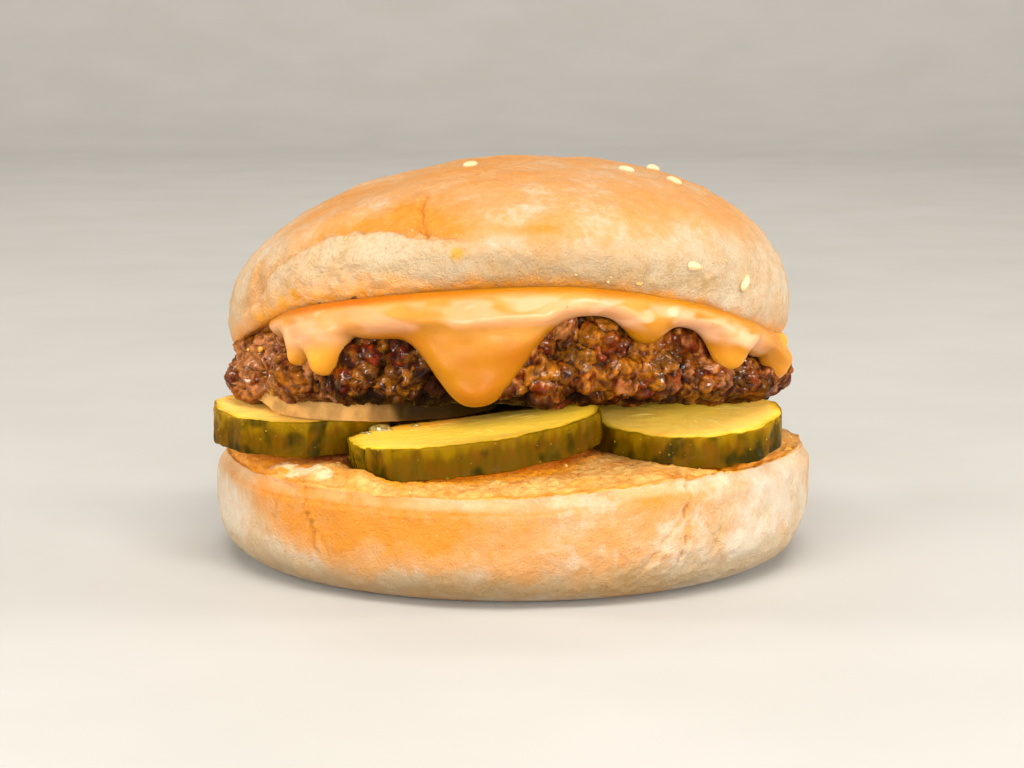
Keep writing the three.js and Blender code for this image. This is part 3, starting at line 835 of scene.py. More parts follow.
def join_rings(name, copies, material):
    """One object from many small ring bodies, given as arrays of rings."""
    spots, faces = [], []
    for rings in copies:
        rows, cols = rings.shape[:2]
        start = sum(len(part) for part in spots)
        spots.append(np.concatenate([rings[0, :1], rings[1:-1].reshape(-1, 3), rings[-1, :1]]))
        for row in range(rows - 3):
            for col in range(cols):
                here, there = start + 1 + row * cols + col, start + 1 + row * cols + (col + 1) % cols
                faces.append((here, there, there + cols, here + cols))
        last = start + 1 + (rows - 3) * cols
        for col in range(cols):
            ahead = (col + 1) % cols
            faces.append((start, start + 1 + ahead, start + 1 + col))
            faces.append((last + col, last + ahead, last + cols))
    piece = mesh_object(name, np.concatenate(spots), faces, {}, material)
    print(name, "has", len(copies), "bodies and", len(faces), "faces")
    return piece


def lay_on(form, spot, facing, turn, lift):
    """Lays a form on a surface: its Z along the facing, turned about it and lifted a little."""
    turned = Matrix.Rotation(np.radians(turn), 3, "Z")
    stand = np.array(Vector((0, 0, 1)).rotation_difference(Vector(facing)).to_matrix() @ turned)
    return form @ stand.T + spot + lift * facing


def seeds_on_crown():
    draws = steady_draws(SEED_DRAW)
    shapes = np.random.default_rng(4)
    copies = []
    for spot in seed_spots(draws):
        index = spot_on_crown(spot["at"], spot.get("height"))
        turn = spot.get("turn", 180.0 * next(draws))
        form = seed_form() * shapes.uniform(0.9, 1.1, 3)
        copies.append(lay_on(form, crown_points[index], crown_facing[index], turn, 0.15))
    return copies


seeds = join_rings("sesame_seeds", seeds_on_crown(), seed_finish())
finish_piece(seeds, "bun_crown", "bun_crown")

# %% [markdown]
# ## Pickle slices
#
# Each slice is a disc cut across a cucumber: a ribbed olive rind, a bright line where the knife
# broke the skin, and pale flesh with seeds in the middle. The slices lie pressed into the heel
# and bend down to the rim in front. One function makes all four from their own sizes. Shear
# leans the left end of the wall, taper thins that end, and corner makes it fuller.

# %% The form of a slice
PICKLES = {
    "pickle_left": dict(
        centre=(-35.4, -15.2), half=15.8, front=15.6, back=15.0, thickness=5.8,
        top=28.2, slope=0.07, rise=0.0, ribs=11, phase=0.4, corner=0.05),
    "pickle_centre": dict(
        centre=(-6.2, -31.5), half=20.8, front=14.0, back=10.5, thickness=5.4,
        top=27.2, slope=0.075, rise=0.125, ribs=13, shear=0.2, phase=2.1),
    "pickle_right": dict(
        centre=(29.4, -21.4), half=15.9, front=15.2, back=14.0, thickness=5.3,
        top=27.8, slope=0.15, rise=0.025, ribs=11, phase=4.0),
    "pickle_back": dict(
        centre=(-22.8, -16.0), half=21.2, front=15.0, back=12.0, thickness=3.5,
        top=31.6, slope=0.05, rise=0.01, ribs=12, phase=5.2, taper=0.85),
}
RIB_DEPTH = 0.012
OVALNESS = 0.02
BACK_BEND = 0.012
FACE_DENT = 0.12


def slice_level(slice_, u, v):
    """Height of a slice's middle at u to the right and v to the back of its centre."""
    bend = slice_["slope"] * v - np.where(v > 0, BACK_BEND * v * v, 0.0)
    return slice_["top"] - slice_["thickness"] / 2 + bend + slice_["rise"] * u


def slice_profile(face_rows=26, corner_rows=5, wall_rows=22):
    """Share of the radius and of the half thickness, from the middle below to the middle on top."""
    turn = np.radians(np.linspace(12, 90, corner_rows))
    below = [(r, -1.0) for r in np.linspace(0.0, 0.985, face_rows // 2)]
    low_corner = [(0.985 + 0.015 * np.sin(a), -1.0 + 0.12 * (1 - np.cos(a))) for a in turn]
    wall = [(1.0, z) for z in np.linspace(-0.85, 0.88, wall_rows)]
    high_corner = [(1.0 - 0.018 * (1 - np.cos(a)), 0.88 + 0.12 * np.sin(a)) for a in turn]
    face = [(r, 1.0) for r in np.linspace(0.975, 0.0, face_rows)]
    return np.array(below + low_corner + wall + high_corner + face)


def slice_rings(slice_, columns=330):
    r, z = (column[:, None] for column in slice_profile().T)
    angle = angles_round(columns)
    a = np.radians(angle)
    half_thick = slice_["thickness"] / 2
    ribs = 1 + RIB_DEPTH * np.cos(slice_["ribs"] * a + slice_["phase"])
    ribs = ribs + OVALNESS * np.cos(2 * a + slice_["phase"])
    reach = np.where(np.cos(a) > 0, slice_["front"], slice_["back"])
    ribs = ribs * (1.0 + slice_.get("corner", 0.0) * around(angle, -122.0, 28.0))
    u = slice_["half"] * ribs * r * np.sin(a)
    v = -reach * ribs * r * np.cos(a)
    dent = FACE_DENT * half_thick * np.maximum(0.0, 1 - r / 0.9)
    taper = 1.0 - slice_.get("taper", 0.0) * ease(-u / slice_["half"], 0.66, 1.0)
    height = slice_level(slice_, u, v) + (half_thick - dent) * np.where(z < 0, z * taper, z)
    lean = slice_.get("shear", 0.0) * half_thick * (1 - z) * ease(-u / slice_["half"], 0.2, 1.0)
    x = slice_["centre"][0] + u + lean
    y = slice_["centre"][1] + v + 0 * z
    rings = np.stack(np.broadcast_arrays(x, y, height), axis=-1)
    return rings, *np.broadcast_arrays(angle, r, z)


print("widths in mm:", {name: 2 * slice_["half"] for name, slice_ in PICKLES.items()})

# %% [markdown]
# ## Finish of the pickles
#
# The rind is olive with darker stripes from top to bottom and small pale warts. The flesh is
# wetter and paler, and tinted by the sauce. A coat of brine gives the shine. Light passes
# through the clear flesh, and under the patty a faint painted glow, which the flesh emits, stands
# in for it.

# %% The pickle finish
RIND_OLIVE = paint(85, 62, 0)
RIND_DARK = paint(38, 31, 0)
RIND_AMBER = paint(100, 58, 0)
RIND_LIGHT = paint(126, 96, 0)
CUT_EDGE = paint(176, 146, 6)
FLESH_PALE = paint(246, 194, 92)
FLESH_GREEN = paint(206, 164, 20)
FLESH_BARE = paint(178, 136, 78)
FLESH_SHADED = paint(40, 26, 4)
FLESH_GLOW = paint(255, 206, 40)
SEED_HUSK = paint(255, 222, 140)


def pickle_finish():
    material, tree, shader = new_finish(
        "dill_pickle", Subsurface_Weight=0.5, Subsurface_Scale=0.0035,
        Subsurface_Radius=(1.0, 0.8, 0.3), Coat_Roughness=0.1, Specular_IOR_Level=0.02,
        Emission_Strength=0.66)
    clouds = effect(tree, MOTTLE, Size=2.6, Low=0.35, High=0.65)
    warts = effect(tree, SPECKS, Spacing=1.5, Share=0.3, Radius=0.14)
    rind = mix_paint(tree, times(tree, clouds, 0.6), RIND_OLIVE, RIND_AMBER)
    rind = mix_paint(tree, "upper", rind, RIND_LIGHT)
    rind = mix_paint(tree, "stripe", rind, RIND_DARK)
    rind = mix_paint(tree, times(tree, warts, 0.2), rind, CUT_EDGE)
    flesh = mix_paint(tree, "green", FLESH_PALE, FLESH_GREEN)
    flesh = mix_paint(tree, times(tree, mask_of(tree, "seeds"), 0.6), flesh, SEED_HUSK)
    stained = effect(tree, MOTTLE, Size=3.4, Low=0.56, High=0.72)
    flesh = mix_paint(tree, times(tree, stained, 0.35), flesh, paint(232, 140, 40))
    colour = mix_paint(tree, "rind", flesh, rind)
    bare = mix_paint(tree, "shaded", FLESH_BARE, FLESH_SHADED)
    bare = mix_paint(tree, times(tree, clouds, 0.35), bare, FLESH_SHADED)
    colour = mix_paint(tree, "bare", colour, bare)
    colour = mix_paint(tree, "cut", colour, CUT_EDGE)
    plug(tree, shader.inputs["Base Color"], colour)
    plug(tree, shader.inputs["Roughness"], span(tree, clouds, 0.3, 0.45))
    plug(tree, shader.inputs["Coat Weight"], span(tree, mask_of(tree, "rind"), 0.25, 0.03))
    # The flesh under the patty is given a faint glow: painted light.
    glow = mix_paint(tree, "glow", (0.0, 0.0, 0.0, 1.0), FLESH_GLOW)
    plug(tree, shader.inputs["Emission Color"], glow)
    grain = effect(tree, GRAIN, Size=0.7, Pores=0.2)
    add_bump(tree, shader, grain, 0.10)
    return material


pickle_material = pickle_finish()
print(pickle_material.name, "has", len(pickle_material.node_tree.nodes), "nodes")

# %% [markdown]
# ## Relief of the pickles
#
# Ribs and grooves run down the rind, unevenly spaced, and the left end of the front slice is
# deeply scalloped. The skin stands a little above the softer flesh. Seeds lie in three groups
# round the middle, as in any cucumber.

# %% Make the four slices
SCALLOPS = {"pickle_centre": dict(centre=-82.0, reach=42.0, depth=0.55, pitch=7.5)}
BARE_EDGES = {"pickle_back": dict(low=-120.0, high=80.0)}
GLOW = {"pickle_centre": 1.0, "pickle_right": 0.42}


def slice_looks(name, slice_, rings, angle, r, z):
    turned = turn_between(angle, 0.0)
    on_wall = ease(r, 0.972, 0.984)
    rim = place(angle, slice_["half"], 0.0)
    unrolled = np.stack(np.broadcast_arrays(rim[..., 0], rim[..., 1], z * slice_["thickness"] / 2), axis=-1)
    shift = np.array([slice_["phase"] * 40.0, 0.0, 0.0])
    # The rind has grooves from top to bottom, and deep scallops on one slice.
    grooves = rough_noise(unrolled + shift, (3.0, 3.0, 7.0), 3, seed=41)
    relief = on_wall * (0.08 if name in BARE_EDGES else 0.22) * grooves
    scallop = SCALLOPS.get(name)
    deep = np.zeros_like(r)
    if scallop:
        near = fade(np.abs(turned - scallop["centre"]), scallop["reach"] * 0.6, scallop["reach"])
        wave = np.abs(np.sin(np.pi * (turned + 2.5 * grooves) / scallop["pitch"]))
        deep = near * (1.0 - wave) ** 1.5
        relief = relief - on_wall * scallop["depth"] * deep
    # The face has seeds in three groups, and its flesh lies a little lower than the skin.
    on_face = fade(r, 0.93, 0.99)
    lobes = 0.5 + 0.5 * np.cos(np.radians(3 * (turned + 57.0 * slice_["phase"])))
    spots = rings - np.array([*slice_["centre"], 0.0])
    seed_belt = bell(r, 0.45, 0.16) * ease(lobes, 0.25, 0.6)
    polar = np.stack(np.broadcast_arrays(turned * 0.9, r * slice_["half"], slice_["phase"] + 0 * r), axis=-1)
    kernels = ease(soft_noise(polar, (7.0, 2.6, 1.0), seed=44), 0.15, 0.5) * seed_belt
    relief = relief + on_face * (0.10 * kernels + 0.06 * rough_noise(spots, 2.2, 3, seed=47))
    relief = relief - 0.12 * on_face * ease(0.9 - r, 0.0, 0.2)
    # Dark stripes of two sizes run down the rind, and the scallops are dark too.
    stripe = ease(rough_noise(unrolled + 3.0 * shift, (4.2, 4.2, 5.0), 3, seed=51), 0.0, 0.8)
    stripe = stripe + 0.2 * ease(rough_noise(unrolled + 5.0 * shift, (1.3, 1.3, 9.0), 2, seed=52), 0.0, 0.5)
    stripe = 0.75 * stripe + 0.25 * ease(-z, -0.6, 1.0)
    stripe = np.maximum(stripe, 0.8 * deep)
    under_patty = 49.0 - np.hypot(rings[..., 0], rings[..., 1])
    # The glow mask is painted light in the flesh under the patty.
    masks = {
        "rind": on_wall, "stripe": np.clip(stripe, 0.0, 1.0), "seeds": np.clip(kernels, 0.0, 1.0),
        "green": ease(r + 0.03 * grooves, 0.84, 1.0) * 0.85 + 0.15 * fade(r, 0.2, 0.6),
        "cut": ease(z, 0.9, 0.99) * bell(r, 0.962, 0.014) * 0.6, "bare": np.zeros_like(r),
        "upper": ease(z + 0.5 * grooves, 0.1, 1.1) * 0.7, "shaded": ease(turned + 6.0 * grooves, -10.0, 18.0),
        "glow": GLOW.get(name, 0.0) * on_face * bell(under_patty, 11.0, 8.0),
    }
    # A bare edge shows flesh instead of rind between two angles.
    bare = BARE_EDGES.get(name)
    if bare:
        ragged = 5.0 * soft_noise(unrolled, 2.0, 61)
        part = ease(turned + ragged, bare["low"] - 5, bare["low"] + 5)
        part = part * fade(turned + ragged, bare["high"] - 8, bare["high"] + 8)
        masks["bare"] = part * on_wall * fade(z, 0.75, 0.9)
    return relief, masks


slice_surfaces = {}
for name, slice_ in PICKLES.items():
    rings, angle, r, z = slice_rings(slice_)
    relief, masks = slice_looks(name, slice_, rings, angle, r, z)
    slice_surfaces[name] = raise_surface(rings, relief)
    piece = ring_object(name + "_slice", slice_surfaces[name], masks, pickle_material)
    finish_piece(piece, "pickle", name)

# %% [markdown]
# ## Where things press into each other
#
# The heel's soft face takes the shape of what lies on it. So the height of the underside of each
# slice, and of the leaning patty, is a function of the place, and the heel's face is pressed
# down to the lowest of them.

# %% Undersides of the slices and of the patty
PATTY_RADIUS = 49.2
PATTY_CENTRE = (-0.5, 0.2)
PATTY_BASE_HEIGHT = 26.5
PATTY_SLOPE = 0.137
PRESS_GAP = 0.25
RISE_BEYOND = 40.0


def slice_underside(slice_, x, y):
    u = x - slice_["centre"][0]
    v = y - slice_["centre"][1]
    reach = np.where(v < 0, slice_["front"], slice_["back"])
    out = np.hypot(u / slice_["half"], v / reach)
    under = slice_level(slice_, u, v) - slice_["thickness"] / 2
    return under + RISE_BEYOND * np.maximum(0.0, out - 0.97)


def patty_base(y):
    return PATTY_BASE_HEIGHT - PATTY_SLOPE * y


def softly_under(height, ceiling, softness=0.5):
    """Presses a height down to a ceiling, with a rounded edge to the dent."""
    gap = ceiling - height
    return height + softness * -np.logaddexp(0.0, -gap / softness)


print("underside of the patty in front:", round(patty_base(-PATTY_RADIUS), 1), "mm")

# %% [markdown]
# ## Bun heel
#
# The heel stands on a flat foot and rises round a full corner to a torn rim. Its cut face is
# bare crumb, pressed down under the pickles and stained by sauce. Side and face are one body, as
# on the real bun, with the crust's edge standing up a little round the rim.

# %% The heel's main form
HEEL_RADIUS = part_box("bun_heel")[1][0] / MM
HEEL_FOOT_RADIUS = 41.5
HEEL_CORNER_HEIGHT = 9.8
HEEL_CORNER_FULLNESS = 0.82
HEEL_SIDE_START, HEEL_SIDE_TURN = 9.6, 14.5
HEEL_RIM_RADIUS = 51.2
HEEL_NOMINAL_RIM = 17.5
HEEL_CENTRE_HEIGHT = 21.8
HEEL_FLATNESS = 9
HEEL_SWELL = 0.9
HEEL_RIM_STATIONS = [
    (-90, 18.2), (-45, 17.8), (0, 18.0), (25, 19.4), (55, 19.6), (90, 19.3), (135, 17.8), (180, 17.4),
]
FACE_HUMPS = [
    (12.5, -35.5, 5.0, 1.5), (-31.0, -36.0, 3.0, 1.3), (-25.0, -41.0, 3.2, 1.1), (40.0, -26.0, 3.0, 0.9),
    (22.0, -42.0, 3.4, 0.7), (-38.0, -30.0, 2.4, 0.8),
]
heel_rim_height = around_burger(HEEL_RIM_STATIONS)


def heel_face(x, y, angle, share):
    """Height of the cut face: domed crumb, with humps, pressed down by what lies on it."""
    height = blend(heel_rim_height(angle), HEEL_CENTRE_HEIGHT, 1.0 - share ** HEEL_FLATNESS)
    flat = np.stack([x, y, 0.0 * x], axis=-1)
    height = height + 0.20 * rough_noise(flat, 9.0, 2, seed=71)
    for hump_x, hump_y, size, rise in FACE_HUMPS:
        height = height + rise * bell(np.hypot(x - hump_x, y - hump_y), 0.0, size)
    for slice_ in PICKLES.values():
        height = softly_under(height, slice_underside(slice_, x, y) - PRESS_GAP)
    inside = RISE_BEYOND * np.maximum(0.0, np.hypot(x, y) - 0.95 * PATTY_RADIUS)
    return softly_under(height, patty_base(y) - PRESS_GAP + inside)


def heel_rings(columns=440, foot_rows=7, corner_rows=50, side_rows=34, face_rows=115):
    angle = angles_round(columns)
    foot = place(angle, HEEL_FOOT_RADIUS * np.linspace(0, 1, foot_rows, endpoint=False)[:, None], 0.0)
    turn = np.radians(np.linspace(3.0, 87.0, corner_rows))[:, None]
    fullness = HEEL_CORNER_FULLNESS
    # The corner is a full quarter round, and the side above it turns in towards the rim.
    radius = np.concatenate([
        blend(HEEL_FOOT_RADIUS, HEEL_RADIUS, np.sin(turn) ** fullness),
        np.full((side_rows, 1), HEEL_RADIUS),
    ])
    height = np.concatenate([
        HEEL_CORNER_HEIGHT * (1 - np.cos(turn) ** fullness),
        np.linspace(HEEL_SIDE_START, HEEL_NOMINAL_RIM, side_rows)[:, None],
    ])
    turned_in = ease(height, HEEL_SIDE_TURN, HEEL_NOMINAL_RIM) ** 1.3
    radius = radius - (HEEL_RADIUS - HEEL_RIM_RADIUS) * turned_in
    rim = heel_rim_height(angle)
    side = place(angle, radius, height * blend(1.0, rim / HEEL_NOMINAL_RIM, ease(height, 0.0, 6.0)))
    lumps = soft_noise(side, 26.0, seed=73) * ease(side[..., 2], 0.0, 9.0)
    side = place(angle, radius + HEEL_SWELL * lumps - 0.25, side[..., 2])
    # The rows of the face are closest near the rim, where it shows.
    share = (1.0 - np.linspace(0.012, 1.0, face_rows) ** 1.35)[:, None]
    edge = np.hypot(side[-1, :, 0], side[-1, :, 1])[None, :]
    face = place(angle, edge * share, 0.0)
    wide_angle, wide_share = np.broadcast_arrays(angle, share)
    face[..., 2] = heel_face(face[..., 0], face[..., 1], wide_angle, wide_share)
    rings = np.concatenate([foot, side, face])
    kind = np.concatenate([np.zeros(foot_rows), np.ones(corner_rows + side_rows), np.full(face_rows, 2.0)])
    return rings, np.broadcast_to(angle, rings.shape[:2]), np.broadcast_to(kind[:, None], rings.shape[:2])


heel_base, heel_angle, heel_kind = heel_rings()
print("heel radius", round(HEEL_RADIUS, 1), "mm, rim in front at", heel_rim_height(0.0).round(1), "mm")

# %% [markdown]
# ## Relief of the heel
#
# The side has a few folds where the bun was squeezed, a fine step under the rim and wrinkles low
# on the right. The face is open crumb with small pores and a torn edge. A fold is given by the
# angle at its top, its lean in degrees for 10 mm, its width and depth, and its two heights.

# %% Folds, wrinkles and crumb
HEEL_FOLDS = [
    (-41, -3.0, 0.26, 1.00, 6, 17), (-48, 4.0, 0.4, 0.45, 9, 15), (-37, -6.0, 0.35, 0.35, 4, 10),
    (33, 2.0, 0.26, 1.10, 5, 18.5), (36, -8.0, 0.4, 0.32, 2, 13), (30, 9.0, 0.4, 0.32, 2, 13),
    (40, 5.0, 0.4, 0.35, 3, 11), (124, 3.0, 2.0, 0.6, 6, 16), (-133, -3.0, 1.8, 0.6, 5, 15),
]


def heel_folds(base, turned):
    """Relief of the folds, grooves with a lifted edge, and a mask of where they run."""
    height = base[..., 2]
    relief = mark = np.zeros_like(height)
    for top_angle, lean, width, depth, low, high in HEEL_FOLDS:
        middle = top_angle + lean * (height - high) / 10.0
        across = np.radians(turn_between(turned, middle)) * HEEL_RADIUS + 0.5 * soft_noise(base, 2.2, 77)
        along = ease(height, low, low + 3) * fade(height, high, high + 2)
        groove = along * bell(across, 0.0, width)
        lifted = along * bell(across, 1.6 * width, 1.5 * width)
        relief = relief - depth * (groove - 0.4 * lifted)
        mark = np.maximum(mark, groove * min(1.0, depth))
    return relief, mark


def side_relief(base, turned, on_side, folds, step):
    """Dents and folds of the crust, wrinkles low on the right, and the step under the rim."""
    dents = 0.28 * rough_noise(base, 7.5, 3, seed=75) + 0.05 * rough_noise(base, 1.8, 2, seed=76)
    relief = on_side * (dents + folds)
    creased = on_side * ease(13.0 - base[..., 2], 0.0, 5.0) * bell(turned, 34.0, 30.0)
    relief = relief + creased * 0.30 * (wrinkle_noise(base, (3.5, 3.5, 5.0), 2, seed=78) - 0.3)
    faint = on_side * (1 - creased)
    relief = relief + faint * 0.12 * (wrinkle_noise(base, (5.0, 5.0, 7.0), 2, seed=79) - 0.3)
    return relief - 0.30 * step


def face_relief(base, radius, on_face):
    """Pores of the crumb, its torn edge, and the line of crust round it with a groove inside."""
    pores = ease(rough_noise(base, 1.1, 2, seed=81), 0.1, 0.6)
    relief = -on_face * (0.18 * pores - 0.14 * rough_noise(base, 0.9, 2, seed=82))
    torn = bell(radius, 49.5, 2.2) * on_face
    relief = relief + torn * 0.22 * rough_noise(base, 2.4, 3, seed=83)
    rim_line = bell(radius, 50.9, 0.35) * on_face
    relief = relief + 0.40 * rim_line * ease(soft_noise(base, 6.0, 84), -0.4, 0.3)
    return relief - 0.45 * on_face * bell(radius, 49.9, 0.45) * ease(soft_noise(base, 8.0, 92), -0.3, 0.2)


def rim_step(base, angle, on_side):
    below_rim = heel_rim_height(angle) - base[..., 2] + 0.3 * soft_noise(base, (9.0, 9.0, 90.0), seed=72)
    return on_side * bell(below_rim, 2.1, 0.28) * bell(turn_between(angle, 0.0), -26.0, 34.0)


print("folds on the heel:", len(HEEL_FOLDS))

# %% [markdown]
# ## Stains on the cut face
#
# Sauce has soaked into the crumb beside the slices and stained the rim in places. Right beside the
# slices and in a pool between two of them the crumb is painted dark as painted shade. The distance
# to the nearest slice says where, and noise breaks it up. A stain on the rim is given by its angle,
# half width, strength, radius and half depth.

# %% Sauce on the cut face
SAUCE_POOL = dict(at=(-29.5, -29.5), size=4.8, strength=1.4)
RIM_STAINS = [(80.0, 22.0, 0.6, 50.2, 1.4), (4.0, 44.0, 1.5, 50.5, 0.6), (-70.0, 12.0, 1.8, 50.0, 1.6)]


def beside_slices(base):
    """Distance in mm from each point of the cut face to the nearest slice, a little uneven."""
    nearest = np.full(base.shape[:2], 20.0)
    for slice_ in PICKLES.values():
        u, v = base[..., 0] - slice_["centre"][0], base[..., 1] - slice_["centre"][1]
        out = np.hypot(u / slice_["half"], v / np.where(v < 0, slice_["front"], slice_["back"])) - 1.0
        nearest = np.minimum(nearest, out * slice_["half"])
    return nearest + 1.2 * rough_noise(base, 3.0, 2, seed=87)


def face_stains(base, angle, radius, on_face):
    """How much sauce each point of the cut face holds, and where the crumb is painted dark as painted shade.
    """
    turned = turn_between(angle, 0.0)
    beside = beside_slices(base)
    far_left = around(angle, -66.0, 20.0)
    stain = on_face * fade(beside, 0.2, 2.2) * (1.0 - 0.5 * far_left)
    # The pool between two slices is painted shade.
    from_pool = np.hypot(base[..., 0] - SAUCE_POOL["at"][0], base[..., 1] - SAUCE_POOL["at"][1])
    pool = np.minimum(1.0, SAUCE_POOL["strength"] * bell(from_pool, 0.0, SAUCE_POOL["size"])) * on_face
    stain = np.maximum(stain, pool)
    spotted = on_face * ease(rough_noise(base, 4.0, 3, seed=88), 0.12, 0.5)
    rim_stain = on_face * bell(radius, 48.0, 2.0) * ease(soft_noise(base, 7.0, 89), -0.1, 0.5)
    for middle, wide, strength, out, deep in RIM_STAINS:
        stained = strength * bell(radius, out, deep) * bell(turned, middle, wide)
        rim_stain = np.maximum(rim_stain, stained * on_face)
    # Right beside the slices the crumb is painted dark: painted shade.
    soaked = on_face * fade(beside, -0.6, 1.2) * fade(radius, 38.0, 43.0)
    sauce = 0.85 * stain + 0.24 * spotted + 0.5 * rim_stain + 0.5 * far_left * on_face * spotted
    return sauce, np.maximum(soaked, pool)


print("stains on the rim:", len(RIM_STAINS))

# %% [markdown]
# ## The dressed heel
#
# The side is golden crust above, most of all at the left of the front, and pale floury dough
# below. Dough shows white where the cut face tore at its left rim. As on the crown, relief and
# masks come from the same marks.

# %% Relief and masks of the heel
HEEL_GOLD = [
    (-34, 14.0, 22, 5.5, 0.85), (-5, 12.0, 26, 5.5, 0.34), (18, 9.0, 16, 4.5, 0.12), (27, 17.0, 7, 1.6, 0.35),
    (-78, 17.5, 16, 2.2, 0.30), (170, 12.0, 60, 6.0, 0.30),
]


def heel_looks(base, angle, kind):
    """Relief in mm and the colour masks of the heel's points."""
    turned = turn_between(angle, 0.0)
    height = base[..., 2]
    on_side = np.where(kind == 1, ease(height, 0.4, 3.0), 0.0)
    on_face = np.where(kind == 2, 1.0, 0.0)
    radius = np.hypot(base[..., 0], base[..., 1])
    folds, fold_mark = heel_folds(base, turned)
    step = rim_step(base, angle, on_side)
    relief = side_relief(base, turned, on_side, folds, step) + face_relief(base, radius, on_face)

    # The side browns towards the rim and in the golden patches, and stays pale in two places.
    mottled = rough_noise(base, 12.0, 3, seed=85)
    golden = patches_at(angle, height, HEEL_GOLD)
    brown = 0.22 + 0.20 * mottled + 0.012 * (height - 6.0) + golden
    brown = brown + 0.10 * rough_noise(base, 4.0, 3, seed=90)
    brown = brown - 0.5 * around(angle, -72, 12) * ease(16.5 - height, 0, 3)
    brown = brown - 0.25 * around(angle, 62, 26)
    # Along the folds and the step under the rim the crust is painted browner: painted shade.
    brown = brown + 0.40 * fold_mark + 0.35 * step
    # Flour keeps to the low and pale parts of the side.
    flour = rough_noise(base, 9.0, 3, seed=86) + 0.9 * ease(9.0 - height, 0, 6) - golden
    flour = on_side * ease(flour, 0.0, 0.8)
    # White dough shows in spots just under the rim, and where the face tore at the left.
    near_rim = np.where(kind == 1, ease(height - heel_rim_height(angle), -2.0, -1.0), 0.0)
    near_rim = near_rim * ease(soft_noise(base, 5.0, 93), -0.5, 0.2)
    torn_left = around(angle, -46.5, 10.0) * bell(radius, 48.4, 1.5) * on_face
    torn_left = ease(torn_left * (1.0 + 0.9 * rough_noise(base, 2.2, 3, seed=95)), 0.4, 0.65)
    sauce, soaked = face_stains(base, angle, radius, on_face)
    sauce = np.clip(sauce + 0.5 * fold_mark * ease(height, 14.0, 17.5), 0.0, 1.0)
    masks = {
        "browning": np.clip(brown, 0.0, 1.0), "flour": np.clip(0.6 * flour, 0.0, 1.0),
        "crumb": on_face * ease(HEEL_RIM_RADIUS - radius, 0.0, 0.5), "sauce": sauce, "soaked": soaked,
        "torn": np.clip(np.maximum(0.62 * torn_left, 0.16 * near_rim), 0.0, 1.0),
        # Low on the side, most in front, the under mask paints shade on the dough.
        "under": 0.72 * on_side * ease(9.5 - height, 0.0, 8.0) * bell(turned, -8.0, 70.0),
    }
    return relief, masks


heel_relief, heel_masks = heel_looks(heel_base, heel_angle, heel_kind)
heel_surface = raise_surface(heel_base, heel_relief)
heel = ring_object("heel_crust", heel_surface, heel_masks, bun_material)
finish_piece(heel, "bun_heel", "bun_heel")

# %% [markdown]
# ## Cheese sauce: where its edge runs
#
# The sauce lies on the patty and runs over its edge in drips. Its edge is a height at each
# angle: a short skirt below the crown's lip, with a bell-shaped drop for each drip. The patty
# needs to know it too, because the meat is smoother where sauce covers it.

# %% The edge of the sauce
SAUCE_REACH_STATIONS = [
    (-120, 49.0), (-90, 48.8), (-66, 48.9), (-54, 49.8), (-46, 51.2), (-20, 52.0), (20, 52.0),
    (55, 51.4), (90, 49.4), (135, 50.2), (180, 50.8),
]
SAUCE_MIDDLE, SAUCE_FRONT, SAUCE_BACK = 2.0, 4.0, 1.1
SKIRT_FRONT, SKIRT_BACK = 4.0, 2.2
DRIPS = [
    (-6.3, 14.4, 9.2), (-37.8, 7.6, 4.1), (-44.8, 5.4, 2.2), (-24, 2.6, 9), (25.5, 3.7, 4), (45.2, 5.4, 4.2),
    (55, 1.4, 5), (66, 4.6, 4.5), (118, 3.4, 7), (163, 4.2, 8), (-148, 3.0, 7), (-96, 1.6, 6),
]
DRIP_ROUNDNESS = 2.4
BARE_STRETCH = {"angle": -82.0, "full": 21.0, "faded": 31.0, "lift": 3.0}
sauce_reach = around_burger(SAUCE_REACH_STATIONS)


def bare_share(angle):
    """1 where the meat shows right up to the crown's lip, 0 where sauce covers its edge."""
    away = np.abs(turn_between(angle, BARE_STRETCH["angle"]))
    return fade(away, BARE_STRETCH["full"], BARE_STRETCH["faded"])


def sauce_edge(angle):
    height = lip_height(angle) - blend(SKIRT_BACK, SKIRT_FRONT, frontness(angle))
    height = height + BARE_STRETCH["lift"] * bare_share(angle)
    drops = [
        drop * 2.0 ** -(np.abs(turn_between(angle, middle) / width) ** DRIP_ROUNDNESS)
        for middle, drop, width in DRIPS
    ]
    return height - np.sum(np.array(drops) ** 2.2, axis=0) ** (1 / 2.2)


def patty_top(x, y):
    """Height of the patty's top, one layer of sauce under the crown."""
    out = np.clip(np.hypot(x, y) / PATTY_RADIUS, 0.0, 1.0)
    edge = blend(SAUCE_BACK, SAUCE_FRONT, frontness(angle_of(x, y)) ** 2)
    return crown_underside(x, y) - blend(SAUCE_MIDDLE, edge, out ** 2) - 0.6


print("main drip ends at", sauce_edge(-6.5).round(1), "mm")

# %% [markdown]
# ## Beef patty
#
# The patty is a leaning disc with a full, slightly wavy edge and coarse crags. Its top follows
# the crown one layer of sauce lower, and its rings are closest on the wall, which is the part
# that shows. The profile goes from the middle of the base round the wall to the middle on top.

# %% The patty's main form
PATTY_PROFILE = [
    (0.0, 0.0), (0.5, 0.0), (0.86, 0.0), (0.955, 0.04), (0.995, 0.2), (1.005, 0.4), (0.998, 0.6),
    (0.985, 0.8), (0.95, 0.96), (0.84, 1.0), (0.55, 1.0), (0.28, 1.0), (0.0, 1.0),
]
PATTY_WALL_POINTS = (2, 9)
PATTY_COLUMNS = 700
PATTY_ROWS = {"base": 14, "wall": 82, "top": 9}
CRAG = 1.5
PATTY_HEIGHT = 14.0


